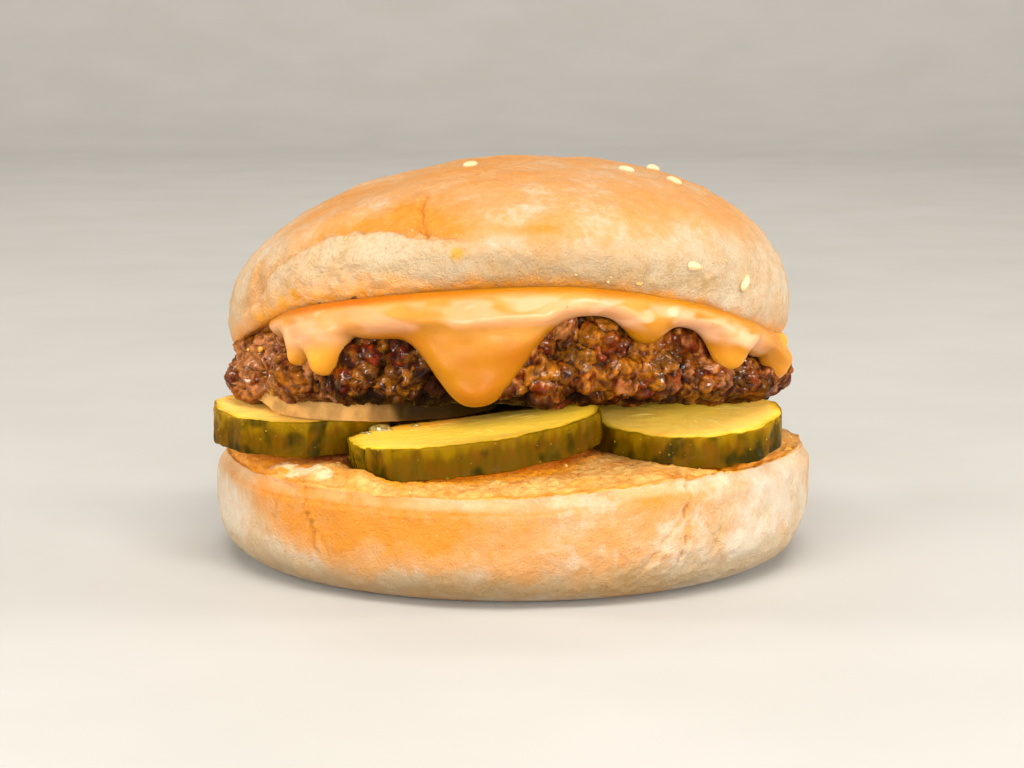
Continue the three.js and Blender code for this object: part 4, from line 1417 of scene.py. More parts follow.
def patty_base_rings():
    shares, levels = np.array(PATTY_PROFILE).T
    step = np.hypot(np.diff(shares) * PATTY_RADIUS, np.diff(levels) * PATTY_HEIGHT)
    length = np.concatenate([[0.0], np.cumsum(step)])
    wall_low, wall_high = (length[point] for point in PATTY_WALL_POINTS)
    along = np.concatenate([
        np.linspace(0.0, wall_low, PATTY_ROWS["base"], endpoint=False),
        np.linspace(wall_low, wall_high, PATTY_ROWS["wall"], endpoint=False),
        np.linspace(wall_high, length[-1], PATTY_ROWS["top"]),
    ])
    share = np.interp(along, length, shares)[:, None]
    level = np.interp(along, length, levels)[:, None]
    angle = angles_round(PATTY_COLUMNS)
    swell = 1 + 0.012 * np.sin(np.radians(3 * angle + 40)) + 0.008 * np.cos(np.radians(5 * angle))
    flat = place(angle, PATTY_RADIUS * share * swell, 0.0, PATTY_CENTRE)
    low = patty_base(flat[..., 1])
    high = patty_top(flat[..., 0], flat[..., 1])
    bare = bare_share(angle) * ease(share, 0.8, 0.97)
    flat[..., 2] = blend(low, high + 0.7 * BARE_STRETCH["lift"] * bare, level)
    crag = CRAG * soft_noise(flat, 6.5, seed=91) * ease(share, 0.86, 0.95)
    radius = PATTY_RADIUS * share * swell + crag - 0.9 * ease(share, 0.8, 0.95)
    wide = place(angle, radius, flat[..., 2], PATTY_CENTRE)
    return wide, np.broadcast_to(angle, wide.shape[:2]), np.broadcast_to(share, wide.shape[:2])


patty_rings, patty_angle, patty_share = patty_base_rings()
print("patty from", patty_rings[..., 2].min().round(1), "to", patty_rings[..., 2].max().round(1), "mm")

# %% [markdown]
# ## Minced beef
#
# Coarse mince keeps its grains when it fries: lumps of two to six millimetres, some of them
# long, with dark gaps between them. Each lump is a low dome round its own middle, and the highest
# dome wins at every point, which gives rounded grains with sharp creases.

# %% Lumps of minced beef
LUMP_SPACING = 1.45
LUMP_SIZES = (0.9, 2.9)
LUMP_LENGTHENING = 0.62
LUMP_FULLNESS, LUMP_BLUNTNESS = 0.75, 0.42


def scatter_on(rings, weight, spacing, rng, tries):
    """Points of a surface, chosen evenly by area and at least the spacing apart, by their number."""
    edge = np.linalg.norm(np.roll(rings, -1, 1) - rings, axis=-1)
    rise = np.linalg.norm(np.gradient(rings, axis=0), axis=-1)
    area = (edge * rise * weight).ravel()
    order = rng.choice(area.size, size=tries, p=area / area.sum())
    spots = rings.reshape(-1, 3)[order]
    steps = list(np.ndindex(3, 3, 3))
    kept, cells = [], {}
    for index, spot in zip(order, spots):
        cell = (spot // spacing).astype(int) - 1
        others = [cells.get(tuple(cell + step)) for step in steps]
        if all(other is None or np.dot(spot - other, spot - other) > spacing ** 2 for other in others):
            cells[tuple(cell + 1)] = spot
            kept.append(index)
    return np.array(kept)


def nearest_lumps(spots, lumps, neighbours):
    tree = kdtree.KDTree(len(lumps))
    for i, lump in enumerate(lumps):
        tree.insert(lump, i)
    tree.balance()
    return np.array([[i for _, i, _ in tree.find_n(spot, neighbours)] for spot in spots])


def lump_field(spots, lumps, sizes, lifts, grain, neighbours=9):
    """The highest dome at each point, and which lump it belongs to. Lumps are long along their grain."""
    near = nearest_lumps(spots, lumps, neighbours)
    offset = spots[:, None, :] - lumps[near]
    along = (offset * grain[near]).sum(axis=-1)
    away = np.sqrt(np.maximum((offset ** 2).sum(axis=-1) - LUMP_LENGTHENING * along ** 2, 0.0))
    inside = 1.0 - (away / sizes[near]) ** 2
    bulge = np.where(inside > 0, np.abs(inside) ** LUMP_BLUNTNESS, np.maximum(2.0 * inside, -1.5))
    domes = lifts[near] + LUMP_FULLNESS * sizes[near] * bulge
    best = domes.argmax(axis=1)
    rows = np.arange(len(spots))
    second = np.partition(domes, -2, axis=1)[:, -2]
    return domes[rows, best], near[rows, best], domes[rows, best] - second


mince = np.random.default_rng(7)
warp = np.stack([rough_noise(patty_rings, 2.6, 2, seed=94 + k) for k in range(3)], axis=-1)
warped = patty_rings + 0.95 * warp
lumps = scatter_on(patty_rings, ease(patty_share, 0.7, 0.85), LUMP_SPACING, mince, 30000)
lumps = patty_rings.reshape(-1, 3)[lumps]
lump_sizes = blend(*LUMP_SIZES, mince.uniform(0.0, 1.0, len(lumps)) ** 1.6)
lump_lifts = mince.normal(0.0, 0.40, len(lumps)) - 0.2 * (lump_sizes - LUMP_SIZES[0])
lump_grain = mince.normal(0.0, 1.0, (len(lumps), 3)) * np.array([1.0, 1.0, 0.55])
lump_grain = lump_grain / np.linalg.norm(lump_grain, axis=1, keepdims=True)
shape = patty_rings.shape[:2]
dome, owner, crease = (field.reshape(shape) for field in lump_field(
    warped.reshape(-1, 3), lumps, lump_sizes, lump_lifts, lump_grain))
print(len(lumps), "lumps, domes from", dome.min().round(2), "to", dome.max().round(2), "mm")

# %% [markdown]
# ## Colours of the patty
#
# Every lump has its own tone: most are brown, some are grey and cooked through, some are fat,
# nearly clear and yellow, and a few still look red. The gaps are painted almost black as painted
# shade, and the lower edge is dark, partly char and partly painted shade. Lumps near the sauce are
# painted lighter as a painted sheen. Small drops of fat glisten all over it.

# %% The beef finish
BEEF_BROWN = paint(100, 34, 2)
BEEF_DARK = paint(36, 9, 0)
BEEF_GREY = paint(160, 100, 56)
BEEF_RED = paint(112, 14, 1)
BEEF_FAT = paint(140, 84, 8)
CHAR = paint(20, 6, 1)


def beef_finish():
    material, tree, shader = new_finish(
        "fried_beef", Coat_Roughness=0.05, Specular_IOR_Level=0.04, Subsurface_Weight=0.12,
        Subsurface_Scale=0.001, Subsurface_Radius=(1.0, 0.4, 0.15))
    fine = effect(tree, MOTTLE, Size=1.0, Low=0.4, High=0.6)
    finer = effect(tree, MOTTLE, Size=2.2, Low=0.42, High=0.6)
    colour = mix_paint(tree, remap(tree, mask_of(tree, "tone"), 0.0, 0.6), BEEF_DARK, BEEF_BROWN)
    colour = mix_paint(tree, remap(tree, mask_of(tree, "tone"), 0.6, 1.0), colour, BEEF_GREY)
    colour = mix_paint(tree, times(tree, finer, 0.4), colour, BEEF_FAT)
    colour = mix_paint(tree, "red", colour, BEEF_RED)
    colour = mix_paint(tree, "fat", colour, BEEF_FAT)
    colour = mix_paint(tree, times(tree, fine, 0.5), colour, BEEF_DARK)
    # The char mask is partly char, and partly painted shade in the gaps and along the lower edge.
    colour = mix_paint(tree, "char", colour, CHAR)
    plug(tree, shader.inputs["Base Color"], colour)
    plug(tree, shader.inputs["Roughness"], span(tree, fine, 0.4, 0.65))
    clean = count(tree, "SUBTRACT", 1.0, mask_of(tree, "char"), clamp=True)
    drops = effect(tree, MOTTLE, Size=1.3, Low=0.50, High=0.60)
    wet = span(tree, drops, 0.04, 0.8)
    plug(tree, shader.inputs["Coat Weight"], times(tree, clean, wet))
    grain = effect(tree, GRAIN, Size=0.7, Pores=0.5)
    add_bump(tree, shader, grain, 0.20)
    return material


beef_material = beef_finish()
print(beef_material.name, "has", len(beef_material.node_tree.nodes), "nodes")

# %% Relief and masks of the patty
def patty_looks(rings, angle, share, dome, owner):
    height = rings[..., 2]
    covered = ease(height - sauce_edge(angle), 0.8, 2.8)
    on_wall = ease(share, 0.80, 0.95)
    small = rough_noise(warped, 0.9, 3, seed=98)
    ridges = wrinkle_noise(rings, 1.5, 2, seed=99)
    chunks = rough_noise(rings, (5.0, 5.0, 3.4), 2, seed=97)
    # Lumps are flatter where sauce covers them, and a little at the lower edge.
    relief = (dome - 0.7) * blend(1.0, 0.35, covered) - 0.5 * covered
    rough = 0.20 * small + 0.16 * ridges + 0.9 * chunks - 0.55 * fade(crease, 0.0, 0.25)
    low = height - patty_base(rings[..., 1])
    relief = (relief + rough * (1 - covered)) * blend(0.4, 1.0, on_wall)
    relief = relief * blend(0.7, 1.0, ease(low, 0.2, 3.0))
    # Each lump draws its own tone, and a number that makes some of them red or fat.
    draws = np.random.default_rng(9)
    lump_tone = draws.normal(0.0, 0.24, len(lumps))
    kind = draws.uniform(0.0, 1.0, len(lumps))
    # The gaps between lumps are painted nearly black: painted shade.
    gap = np.maximum(fade(dome + 0.6 * chunks, 0.1, 0.95), 0.9 * fade(crease, 0.0, 0.2))
    # The far left is grey, the part beside it is darker, and the lower edge is dark, partly char and partly
    # painted shade.
    patches = rough_noise(rings, 6.0, 3, seed=101)
    speckle = rough_noise(warped, 1.3, 2, seed=102)
    left = around(angle, -66.0, 26.0)
    seared = around(angle, -22.0, 16.0)
    # Near the edge of the sauce the lumps are painted lighter and greyer: a painted sheen.
    filmed = bell(height - sauce_edge(angle), -1.0, 2.6) * ease(patches, -0.3, 0.3)
    burnt = 0.46 * seared * ease(patches, -0.4, 0.4) + 0.5 * ease(patches, 0.2, 0.6)
    burnt = burnt + 0.9 * fade(low + 1.2 * chunks, 0.1, 2.1)
    tone = 0.42 + lump_tone[owner] + 0.68 * left - 0.58 * seared + 0.3 * filmed
    tone = tone - 0.35 * patches + 0.4 * speckle
    masks = {
        "tone": np.clip(tone, 0.0, 1.0),
        "red": np.where(kind[owner] < 0.07, 0.5, 0.0) * (1 - covered) * ease(speckle, -0.4, 0.3),
        "fat": np.where(kind[owner] > 0.70, 0.85, 0.0) * ease(speckle, -0.5, 0.2) * (1 - 0.6 * left),
        "char": np.clip(np.maximum(gap, burnt * (1 - 0.6 * left)), 0.0, 1.0),
    }
    return relief, masks


patty_relief, patty_masks = patty_looks(patty_rings, patty_angle, patty_share, dome, owner)
patty_surface = raise_surface(patty_rings, patty_relief)
patty = ring_object("patty_mince", patty_surface, patty_masks, beef_material)
finish_piece(patty, "beef", "patty")

# %% [markdown]
# ## Cheese sauce
#
# A thick warm sauce has no sharp edge: its rim is a rounded bead, fattest at the end of a drip.
# The thickness at each point comes from its distance to the edge curve on the unrolled wall, so
# the bead keeps its width along steep sides. A shoulder rounds it off under the crown.

# %% Distance to the edge, beads and ripples
MM_PER_DEGREE = np.radians(1.0) * 51.0
SAUCE_LOBES = [
    (-37.8, 37.5, 3.2), (-44.8, 38.5, 1.9), (45.2, 39.5, 3.0), (66.0, 35.5, 3.0), (-6.3, 32.5, 5.0),
]


def edge_distance(angle, height):
    """Distance in mm from each point of the unrolled wall to the edge of the sauce."""
    turns = np.arange(-190.0, 190.0, 0.1)
    tree = kdtree.KDTree(len(turns))
    for i, (turn, low) in enumerate(zip(turns, sauce_edge(turns))):
        tree.insert((turn * MM_PER_DEGREE, low, 0.0), i)
    tree.balance()
    turned = turn_between(angle, 0.0) * MM_PER_DEGREE
    away = [tree.find((u, h, 0.0))[2] for u, h in zip(turned.ravel(), height.ravel())]
    return np.array(away).reshape(height.shape)


def round_off(distance, width):
    t = np.clip(distance / width, 0.0, 1.0)
    return np.sqrt(1.0 - (1.0 - t) ** 2)


def sauce_bead(angle, height):
    """Thickness in mm that hanging sauce gains low down, and in a lobe at the end of a drip."""
    hang = np.clip((lip_height(angle) - height) / 14.0, 0.0, 1.0)
    bead = 0.25 * ease(hang, 0.2, 0.9)
    for at, low, size in SAUCE_LOBES:
        bead = bead + 0.7 * bell(np.hypot(turn_between(angle, at) * MM_PER_DEGREE, height - low), 0, size)
    return bead


def sauce_ripple(flow, angle, below):
    """Waves of the sheet in mm: soft ones, a swelling under the lip, and lumps at the right end."""
    drip_calm = 1.0 - 0.6 * ease(below, 6.0, 10.0)
    ripple = 0.5 * drip_calm * soft_noise(flow, (10.0, 10.0, 5.0), seed=111)
    ripple = ripple + 0.22 * drip_calm * soft_noise(flow, (5.0, 5.0, 2.4), seed=112)
    swelling = bell(below, 4.4 + 0.9 * soft_noise(flow, (14.0, 14.0, 90.0), seed=113), 1.5)
    uneven = ease(soft_noise(flow, (12.0, 12.0, 90.0), seed=114), -0.2, 0.3)
    ripple = ripple + 0.6 * swelling * blend(0.4, 1.0, uneven)
    ripple = ripple + 0.3 * bell(below, 4.0, 3.0) * soft_noise(flow, (4.6, 4.6, 3.2), seed=118)
    right_end = around(angle, 84.0, 16.0)
    return ripple + right_end * (1.3 * soft_noise(flow, 2.8, seed=120) - 0.8)


bead_in_drip = sauce_bead(np.array(-6.3), np.array(32.5))
print("the main drip is", bead_in_drip.round(2), "mm fuller at its end")

# %% The sauce as a thick rounded sheet
SAUCE_COLUMNS, SHEET_ROWS = 760, 78
SAUCE_THICKNESS, EDGE_WIDTH, SHOULDER_DROP = 3.4, 3.3, 3.6


def sauce_rings():
    """The sauce from the middle of its underside, round its edge, and up over its top."""
    angle = angles_round(SAUCE_COLUMNS)
    reach = sauce_reach(angle) * (1 + 0.006 * np.cos(np.radians(7 * angle)) - 0.012 * (1 - frontness(angle)))
    inner = reach - SAUCE_THICKNESS
    start = lip_height(angle) + 0.5
    edge = sauce_edge(angle)
    # The sheet hangs from under the lip to the edge, and rounds off towards the edge.
    t = np.linspace(0.0, 1.0, SHEET_ROWS)[:, None]
    height = blend(start, edge, t)
    away = edge_distance(np.broadcast_to(angle, height.shape), height)
    away[-1] = 0.0
    below = start - height
    ripple = sauce_ripple(place(angle, reach, height), angle, below)
    shoulder = 0.30 + 0.70 * round_off(below, SHOULDER_DROP)
    thick = (SAUCE_THICKNESS + ripple * ease(away, 0.5, 2.5)) * round_off(away, EDGE_WIDTH) * shoulder
    sheet = place(angle, inner + thick + sauce_bead(angle, height) * round_off(away, 1.2), height)
    # Its back runs up the side of the patty. One layer lies on the patty, and one under the crown.
    back_height = blend(edge, np.maximum(edge + 0.4, start - 2.0), np.linspace(0.12, 1.0, 9)[:, None])
    back = place(angle, inner - 0.35, back_height)
    under_share = np.linspace(0.93, 0.0, 9)[:, None]
    under = place(angle, inner * under_share, 0.0)
    under[..., 2] = patty_top(under[..., 0], under[..., 1]) + 0.1
    top_share = np.linspace(0.0, 0.955, 9)[:, None]
    top = place(angle, reach * top_share, 0.0)
    top[..., 2] = crown_underside(top[..., 0], top[..., 1]) - 0.3
    rings = np.concatenate([under[::-1], back[::-1], sheet[::-1], top[::-1]])
    return rings, np.broadcast_to(angle, rings.shape[:2])


sauce_shape, sauce_angle = sauce_rings()
sauce_heights = sauce_shape[..., 2]
print("sauce reaches from", sauce_heights.min().round(1), "to", sauce_heights.max().round(1), "mm")

# %% [markdown]
# ## Finish of the sauce
#
# Warm sauce is glossy but not like glass. Its upper part is cream in streaks, partly a paler sauce
# and partly a painted highlight where it turns up to the light. Its tips and right end are painted
# yellower and lighter, partly their own colour and partly painted light, and a darker orange line of
# painted shade runs along the bun on the left. A wet film shines in patches, and specks of herb and
# paprika float in it.

# %% The sauce finish
SAUCE_ORANGE = paint(150, 94, 4)
SAUCE_AMBER = paint(146, 84, 2)
SAUCE_PALE = paint(180, 126, 58)
SAUCE_CREAM = paint(190, 142, 106)
SAUCE_THIN = paint(206, 142, 44)
SAUCE_OILY = paint(160, 72, 4)
HERB_GREEN = paint(110, 104, 24)
PAPRIKA = paint(176, 76, 14)


def sauce_finish():
    material, tree, shader = new_finish(
        "cheese_sauce", Roughness=0.38, Subsurface_Weight=0.3, Subsurface_Scale=0.003,
        Subsurface_Radius=(1.0, 0.5, 0.12), Coat_Roughness=0.18, Specular_IOR_Level=0.10)
    clouds = effect(tree, MOTTLE, Size=9.0, Low=0.35, High=0.65)
    colour = mix_paint(tree, clouds, SAUCE_ORANGE, SAUCE_AMBER)
    streaks = effect(tree, MOTTLE, Size=7.0, Low=0.2, High=0.8)
    pale = times(tree, mask_of(tree, "pale"), span(tree, streaks, 0.5, 1.0))
    colour = mix_paint(tree, pale, colour, SAUCE_PALE)
    # Cream is partly a paler sauce and partly a painted highlight; the thin tips are painted yellower as
    # painted light, and the oily line is painted shade.
    colour = mix_paint(tree, "cream", colour, SAUCE_CREAM)
    colour = mix_paint(tree, "thin", colour, SAUCE_THIN)
    colour = mix_paint(tree, "oily", colour, SAUCE_OILY)
    herbs = effect(tree, SPECKS, Spacing=3.2, Share=0.16, Radius=0.13)
    colour = mix_paint(tree, times(tree, herbs, 0.6), colour, HERB_GREEN)
    pepper = effect(tree, SPECKS, Spacing=1.7, Share=0.06, Radius=0.11)
    colour = mix_paint(tree, times(tree, pepper, 0.5), colour, PAPRIKA)
    plug(tree, shader.inputs["Base Color"], colour)
    plug(tree, shader.inputs["Coat Weight"], mask_of(tree, "film"))
    grain = effect(tree, GRAIN, Size=2.2, Pores=0.1)
    add_bump(tree, shader, grain, 0.10)
    return material


sauce_material = sauce_finish()
print(sauce_material.name, "has", len(sauce_material.node_tree.nodes), "nodes")

# %% Masks of the sauce
def sauce_looks(rings, angle):
    """The masks of the sauce: pale, cream with painted highlight, yellow tips with painted light, a line of
    painted shade, and the wet film.
    """
    height = rings[..., 2]
    below = lip_height(angle) - height
    turned = turn_between(angle, 0.0)
    marbling = rough_noise(rings, (9.0, 9.0, 4.0), 3, seed=116)
    in_front = ease(frontness(angle), 0.15, 0.45)
    right_end = bell(turned, 78.0, 14.0)
    # The pale upper part reaches lower on the main drip, with a marbled border.
    pale = ease(height - sauce_edge(angle), 0.6, 3.0) * ease(below, -0.2, 1.0)
    drip = bell(turned, -5.0, 11.0)
    pale = pale * fade(below + 2.0 * marbling, 2.5 + 2.0 * drip, 7.5 + 5.0 * drip)
    pale = pale * (1.0 - 0.6 * ease(turned, 48.0, 62.0))
    # Cream lies in streaks along the top, and on the lobes at the left.
    streaks = ease(rough_noise(rings, (6.0, 6.0, 2.6), 2, seed=117), -0.25, 0.55)
    top_band = ease(below, 0.5, 1.5) * fade(below, 4.2, 6.0) * fade(turned, 50.0, 60.0)
    left_lobes = bell(turned, -40.0, 9.0) * ease(below, 1.4, 2.8) * fade(below, 5.6, 8.6)
    # Cream lies in streaks along the top, and on the lobes at the left: partly a paler sauce, partly a
    # painted highlight.
    cream = streaks * top_band * blend(0.45, 1.0, ease(turned, -20.0, 10.0))
    cream = np.maximum(cream, left_lobes * blend(0.65, 1.0, streaks))
    # The right end is painted paler, partly its own colour and partly painted light.
    pale = np.maximum(pale * (1.0 - 0.7 * bell(turned, -22.0, 9.0) * ease(below, 2.6, 4.0)), 0.9 * right_end)
    # Then come a line of painted shade under the lip, the tips painted yellower as painted light, and the wet
    # film.
    oily = bell(below, 0.0, 0.6) * bell(turned, -34.0, 24.0)
    tips = (bell(turned, -40.0, 9.0) + bell(turned, 45.0, 7.0)) * ease(below, 4.6, 7.6)
    patches = ease(soft_noise(rings, (8.0, 8.0, 4.0), seed=115), -0.3, 0.1)
    film = patches * ease(below, 0.2, 1.0) * fade(below, 5.0, 8.0)
    film = film * (1.0 - 0.7 * ease(turned, 52.0, 60.0)) * (1.0 - 0.5 * bell(turned, -40.0, 12.0))
    gleam = bell(below, 7.6, 1.0) * ease(soft_noise(rings, (4.0, 4.0, 3.0), seed=119), 0.25, 0.5)
    # Under the wet film the cream is a painted highlight.
    return {
        "pale": 0.8 * pale * in_front, "cream": np.maximum(0.9 * cream, 0.6 * film * top_band) * in_front,
        "thin": np.maximum(0.9 * right_end, 0.6 * tips), "oily": 0.6 * oily,
        "film": 0.04 + 0.28 * film + 0.3 * gleam * (1.0 - right_end),
    }


sauce = ring_object("sauce_drips", sauce_shape, sauce_looks(sauce_shape, sauce_angle), sauce_material)
finish_piece(sauce, "cheese_sauce", "cheese_sauce")

# %% [markdown]
# ## Small things and how they are laid down
#
# Small things lie about on a real burger. Each is a pebble with a slightly bumpy form, laid on
# the nearest point of a surface and turned to its normal. A few are placed one by one where they
# catch the eye, and the rest are strewn by a mask with seeded draws.

# %% Places of the larger small things
SAUCE_SPOTS = [
    dict(on="patty", at=(-44.0, -24.8, 39.4), size=(1.3, 1.0, 0.8)),
    dict(on="patty", at=(-45.2, -22.5, 38.6), size=(0.7, 0.6, 0.5)),
    dict(on="heel", at=(47.6, -15.4, 20.0), size=(1.6, 1.0, 0.5)),
]
FLECKS = [
    dict(on="heel", at=(19.7, -39.1, 19.4), size=(1.5, 0.4, 0.2), turn=15.0),
    dict(on="heel", at=(0.0, -41.7, 18.1), size=(1.6, 0.35, 0.2), turn=8.0),
    dict(on="heel", at=(10.0, -28.8, 20.5), size=(0.8, 0.5, 0.3)),
    dict(on="patty", at=(17.9, -46.7, 33.0), size=(1.0, 0.5, 0.4), turn=60.0),
    dict(on="crown", at=(-25.5, -42.4, 48.4), size=(1.1, 0.5, 0.25), turn=10.0),
    dict(on="crown", at=(-31.6, -37.4, 47.0), size=(0.9, 0.5, 0.25), turn=25.0),
]
CROWN_BITS = [
    dict(on="crown", at=(20.0, -43.3, 51.9), size=(1.5, 0.7, 0.5), turn=15.0),
    dict(on="crown", at=(14.9, -45.3, 52.2), size=(0.6, 0.5, 0.4)),
]
WET_BITS = [
    dict(on="slice", at=(-22.0, -27.4, 26.3), size=(4.4, 2.0, 1.8), turn=-20.0),
    dict(on="slice", at=(-16.2, -26.6, 26.7), size=(1.5, 0.9, 0.8), turn=10.0),
    dict(on="slice", at=(-24.2, -29.6, 25.8), size=(2.2, 0.9, 0.7), turn=-35.0),
]
print("laid by hand:", sum(len(kind) for kind in (SAUCE_SPOTS, FLECKS, CROWN_BITS, WET_BITS)))

# %% Pebbles laid one by one or strewn
def pebble_form(seed, roughness, columns=12, rows=8):
    """One small lump around the origin, 1 mm across before it is sized."""
    angle = np.arange(columns)[None, :] * 360.0 / columns
    lift = np.radians(np.linspace(-90.0, 90.0, rows))[:, None]
    form = place(angle, np.cos(lift), np.sin(lift)) * 0.5
    bumps = 1.0 + roughness * soft_noise(form + 7.3 * seed, 0.45, seed)
    bumps[0], bumps[-1] = bumps[0].mean(), bumps[-1].mean()
    return form * bumps[..., None]


def surface_parts(rings):
    return rings.reshape(-1, 3), grid_normals(rings).reshape(-1, 3)


FRONT_SLICES = ("pickle_left", "pickle_centre", "pickle_right")
front_slices = [surface_parts(slice_surfaces[name]) for name in FRONT_SLICES]
SURFACES = {
    "heel": surface_parts(heel_surface), "patty": surface_parts(patty_surface),
    "crown": surface_parts(crown_surface_rings),
    "slice": tuple(np.concatenate(parts) for parts in zip(*front_slices)),
}


def laid_by_hand(kind, roughness):
    """Copies at given places, each on the nearest point of the surface that carries it."""
    copies = []
    for number, spot in enumerate(kind):
        points, facing = SURFACES[spot["on"]]
        index = ((points - np.array(spot["at"])) ** 2).sum(axis=1).argmin()
        form = pebble_form(number, roughness) * np.array(spot["size"])
        copies.append(lay_on(form, points[index], facing[index], spot.get("turn", 0.0), 0.1))
    return copies


def strewn(rings, weight, spacing, amount, sizes, roughness, seed, flat=0.7):
    """Copies strewn over a surface by weight, of sizes between two limits, mostly small."""
    rng = np.random.default_rng(seed)
    points, facing = surface_parts(rings)
    chosen = scatter_on(rings, weight, spacing, rng, 6 * amount)[:amount]
    copies = []
    for number, index in enumerate(chosen):
        size = blend(*sizes, rng.uniform(0.0, 1.0) ** 2.5) * rng.uniform(0.7, 1.3, 3)
        size = size * np.array([1.0, 1.0, flat])
        form = pebble_form(number, roughness) * size
        copies.append(lay_on(form, points[index], facing[index], rng.uniform(0.0, 360.0), 0.1 * size[2]))
    return copies


def small_finish(name, first, second, **constants):
    material, tree, shader = new_finish(name, **constants)
    tint = effect(tree, MOTTLE, Size=0.8, Low=0.35, High=0.65)
    plug(tree, shader.inputs["Base Color"], mix_paint(tree, tint, first, second))
    return material


print("points to lie on:", {name: len(points) for name, (points, _) in SURFACES.items()})

# %% [markdown]
# ## Crumbs, drops and flecks
#
# Bread crumbs lie on the torn face and on the crown's lip, drops of brine on the slices, and wet
# bits of pickle in the corner between two of them. A few spots of sauce missed, and flecks of
# herb stick to them all. Each kind is one object.

# %% Crumbs, drops and flecks
def crumbs():
    """Crumbs round the rim of the cut face, and a few on the floury band of the crown."""
    radius = np.hypot(heel_base[..., 0], heel_base[..., 1])
    front = ease(frontness(heel_angle), 0.2, 0.6)
    on_face = np.where(heel_kind == 2, 1.0, 0.0) * ease(radius, 36.0, 44.0) * fade(radius, 50.0, 50.8)
    copies = strewn(heel_surface, on_face * blend(0.3, 1.0, front), 0.9, 60, (0.2, 0.75), 0.5, 21)
    over_lip = crown_base[..., 2] - lip_height(crown_angle)
    band = ease(over_lip, 0.5, 2.0) * fade(over_lip, 9.0, 12.0)
    band = band * ease(frontness(crown_angle), 0.4, 0.8)
    copies += laid_by_hand(CROWN_BITS, 0.3)
    return copies + strewn(crown_surface_rings, band, 1.5, 50, (0.2, 0.55), 0.4, 22)


crumb_finish = small_finish(
    "bread_crumb", paint(190, 150, 96), paint(176, 120, 52), Roughness=0.6, Subsurface_Weight=0.2,
    Subsurface_Scale=0.001)
finish_piece(join_rings("bread_crumbs", crumbs(), crumb_finish), "bun_heel")


def brine_drops():
    """Most drops stand on the upper edge of a slice, and fewer run down its rind."""
    share, level = slice_profile().T
    near_edge = np.where(level > -0.6, bell(share, 0.99, 0.05), 0.0) * blend(0.35, 1.0, ease(level, 0.6, 1.0))
    copies = []
    for number, name in enumerate(FRONT_SLICES):
        rings = slice_surfaces[name]
        weight = np.broadcast_to(near_edge[:, None], rings.shape[:2])
        copies += strewn(rings, weight, 0.7, 60, (0.1, 0.30), 0.1, 31 + number, flat=0.6)
    return copies


brine_finish = small_finish(
    "brine", paint(160, 134, 34), paint(128, 104, 20), Roughness=0.08, Coat_Weight=0.6,
    Coat_Roughness=0.03)
finish_piece(join_rings("brine_drops", brine_drops(), brine_finish), "pickle")
bit_finish = small_finish(
    "pickle_bit", paint(160, 148, 88), paint(104, 92, 32), Roughness=0.2, Coat_Weight=0.5,
    Coat_Roughness=0.06)
finish_piece(join_rings("pickle_bits", laid_by_hand(WET_BITS, 0.3), bit_finish), "pickle")
spot_finish = small_finish(
    "sauce_spot", paint(206, 138, 16), paint(190, 116, 10), Roughness=0.3, Coat_Weight=0.3,
    Coat_Roughness=0.1)
finish_piece(join_rings("sauce_spots", laid_by_hand(SAUCE_SPOTS, 0.25), spot_finish), "cheese_sauce")
fleck_finish = small_finish("herb_fleck", paint(78, 48, 14), paint(96, 62, 22), Roughness=0.5)
finish_piece(join_rings("herb_flecks", laid_by_hand(FLECKS, 0.4), fleck_finish), "bun_heel")

# %% [markdown]
# ## Floor
#
# The burger stands on a plain pale floor. It is a wide disc that rises into a wall far away, in
# one smooth bend, so that no edge shows behind the burger from any side.

# %% Floor
SWEEP_START, SWEEP_RADIUS, SWEEP_SIDES = 1300.0, 700.0, 96


def stage_floor():
    material, tree, shader = new_finish("pale_floor", Roughness=0.7)
    soft = effect(tree, MOTTLE, Size=60.0, Low=0.3, High=0.7)
    plug(tree, shader.inputs["Base Color"], mix_paint(tree, soft, paint(166, 164, 160), paint(170, 168, 165)))
    turn = np.radians(np.linspace(0.0, 90.0, 24))
    radius = np.concatenate([[60.0, 300.0, 900.0], SWEEP_START + SWEEP_RADIUS * np.sin(turn)])
    height = np.concatenate([[0.0, 0.0, 0.0], SWEEP_RADIUS * (1 - np.cos(turn))])
    angle = np.arange(SWEEP_SIDES) * 360.0 / SWEEP_SIDES
    rings = place(angle[None, :], radius[:, None], height[:, None])
    rows, cols = rings.shape[:2]
    faces = [tuple(range(cols))]
    for row in range(rows - 1):
        for col in range(cols):
            here, there = row * cols + col, row * cols + (col + 1) % cols
            faces.append((there, here, here + cols, there + cols))
    floor = mesh_object("pale_floor", rings.reshape(-1, 3), faces, {}, material)
    return floor


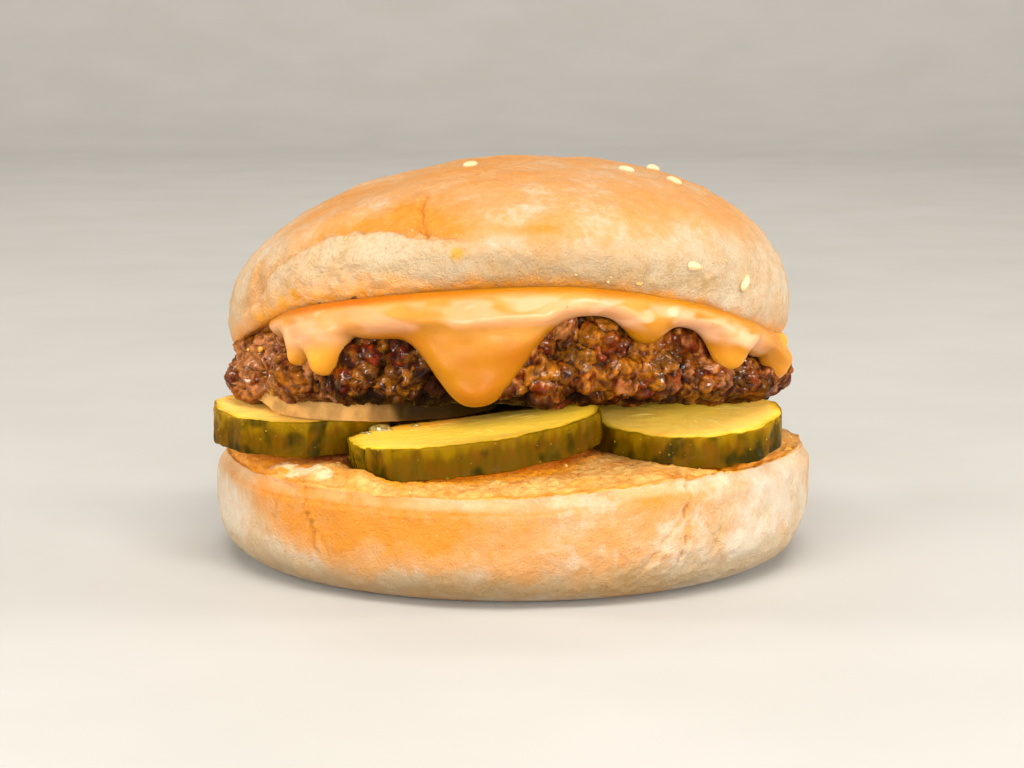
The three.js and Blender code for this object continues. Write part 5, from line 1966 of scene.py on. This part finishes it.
stage_floor()
print("the floor is", 2 * (SWEEP_START + SWEEP_RADIUS) * MM, "m wide")

# %% [markdown]
# ## Lights
#
# Two key lights stand in front with a low fill between them, which lights the faces of the
# slices. A box above and a narrow one at each side draw the highlights on crust and sauce, and
# one more lights the backdrop. The world adds an even pale light, so that no side is black.

# %% Lights
SOFTBOXES = [
    dict(name="left_key", at=(-0.52, -0.74, 0.24), size=(0.30, 0.36), power=5.8),
    dict(name="right_key", at=(0.50, -0.76, 0.20), size=(0.28, 0.34), power=5.8),
    dict(name="low_fill", at=(0.05, -0.86, 0.180), size=(0.44, 0.12), power=5.0),
    dict(name="top_softbox", at=(0.04, -0.34, 0.64), size=(0.60, 0.30), power=6.2),
    dict(name="left_rim", at=(-0.72, 0.06, 0.26), size=(0.20, 0.40), power=3.8),
    dict(name="right_rim", at=(0.72, 0.02, 0.24), size=(0.20, 0.40), power=4.4),
    dict(name="backdrop_light", at=(0.0, 0.60, 1.30), size=(1.40, 0.60), power=26.0, aim=(0.0, 2.2, 0.0)),
]
LIGHT_WARMTH = (1.0, 0.955, 0.88)
LIGHT_TARGET = Vector((0.0, 0.0, 0.035))
WORLD_LIGHT = 0.18


def add_softbox(box):
    lamp = bpy.data.lights.new(box["name"], "AREA")
    lamp.shape = "RECTANGLE"
    lamp.size, lamp.size_y = box["size"]
    lamp.energy = box["power"]
    lamp.color = LIGHT_WARMTH
    light = bpy.data.objects.new(box["name"], lamp)
    light.location = box["at"]
    aim = Vector(box.get("aim", LIGHT_TARGET)) - light.location
    light.rotation_euler = aim.to_track_quat("-Z", "Y").to_euler()
    bpy.context.scene.collection.objects.link(light)


def light_world():
    world = bpy.data.worlds.new("studio")
    world.use_nodes = True
    sky = world.node_tree.nodes["Background"]
    sky.inputs["Color"].default_value = (1.0, 0.98, 0.95, 1.0)
    sky.inputs["Strength"].default_value = WORLD_LIGHT
    bpy.context.scene.world = world


for box in SOFTBOXES:
    add_softbox(box)
light_world()
bpy.context.scene.view_settings.view_transform = "Standard"
print("lights:", [box["name"] for box in SOFTBOXES])
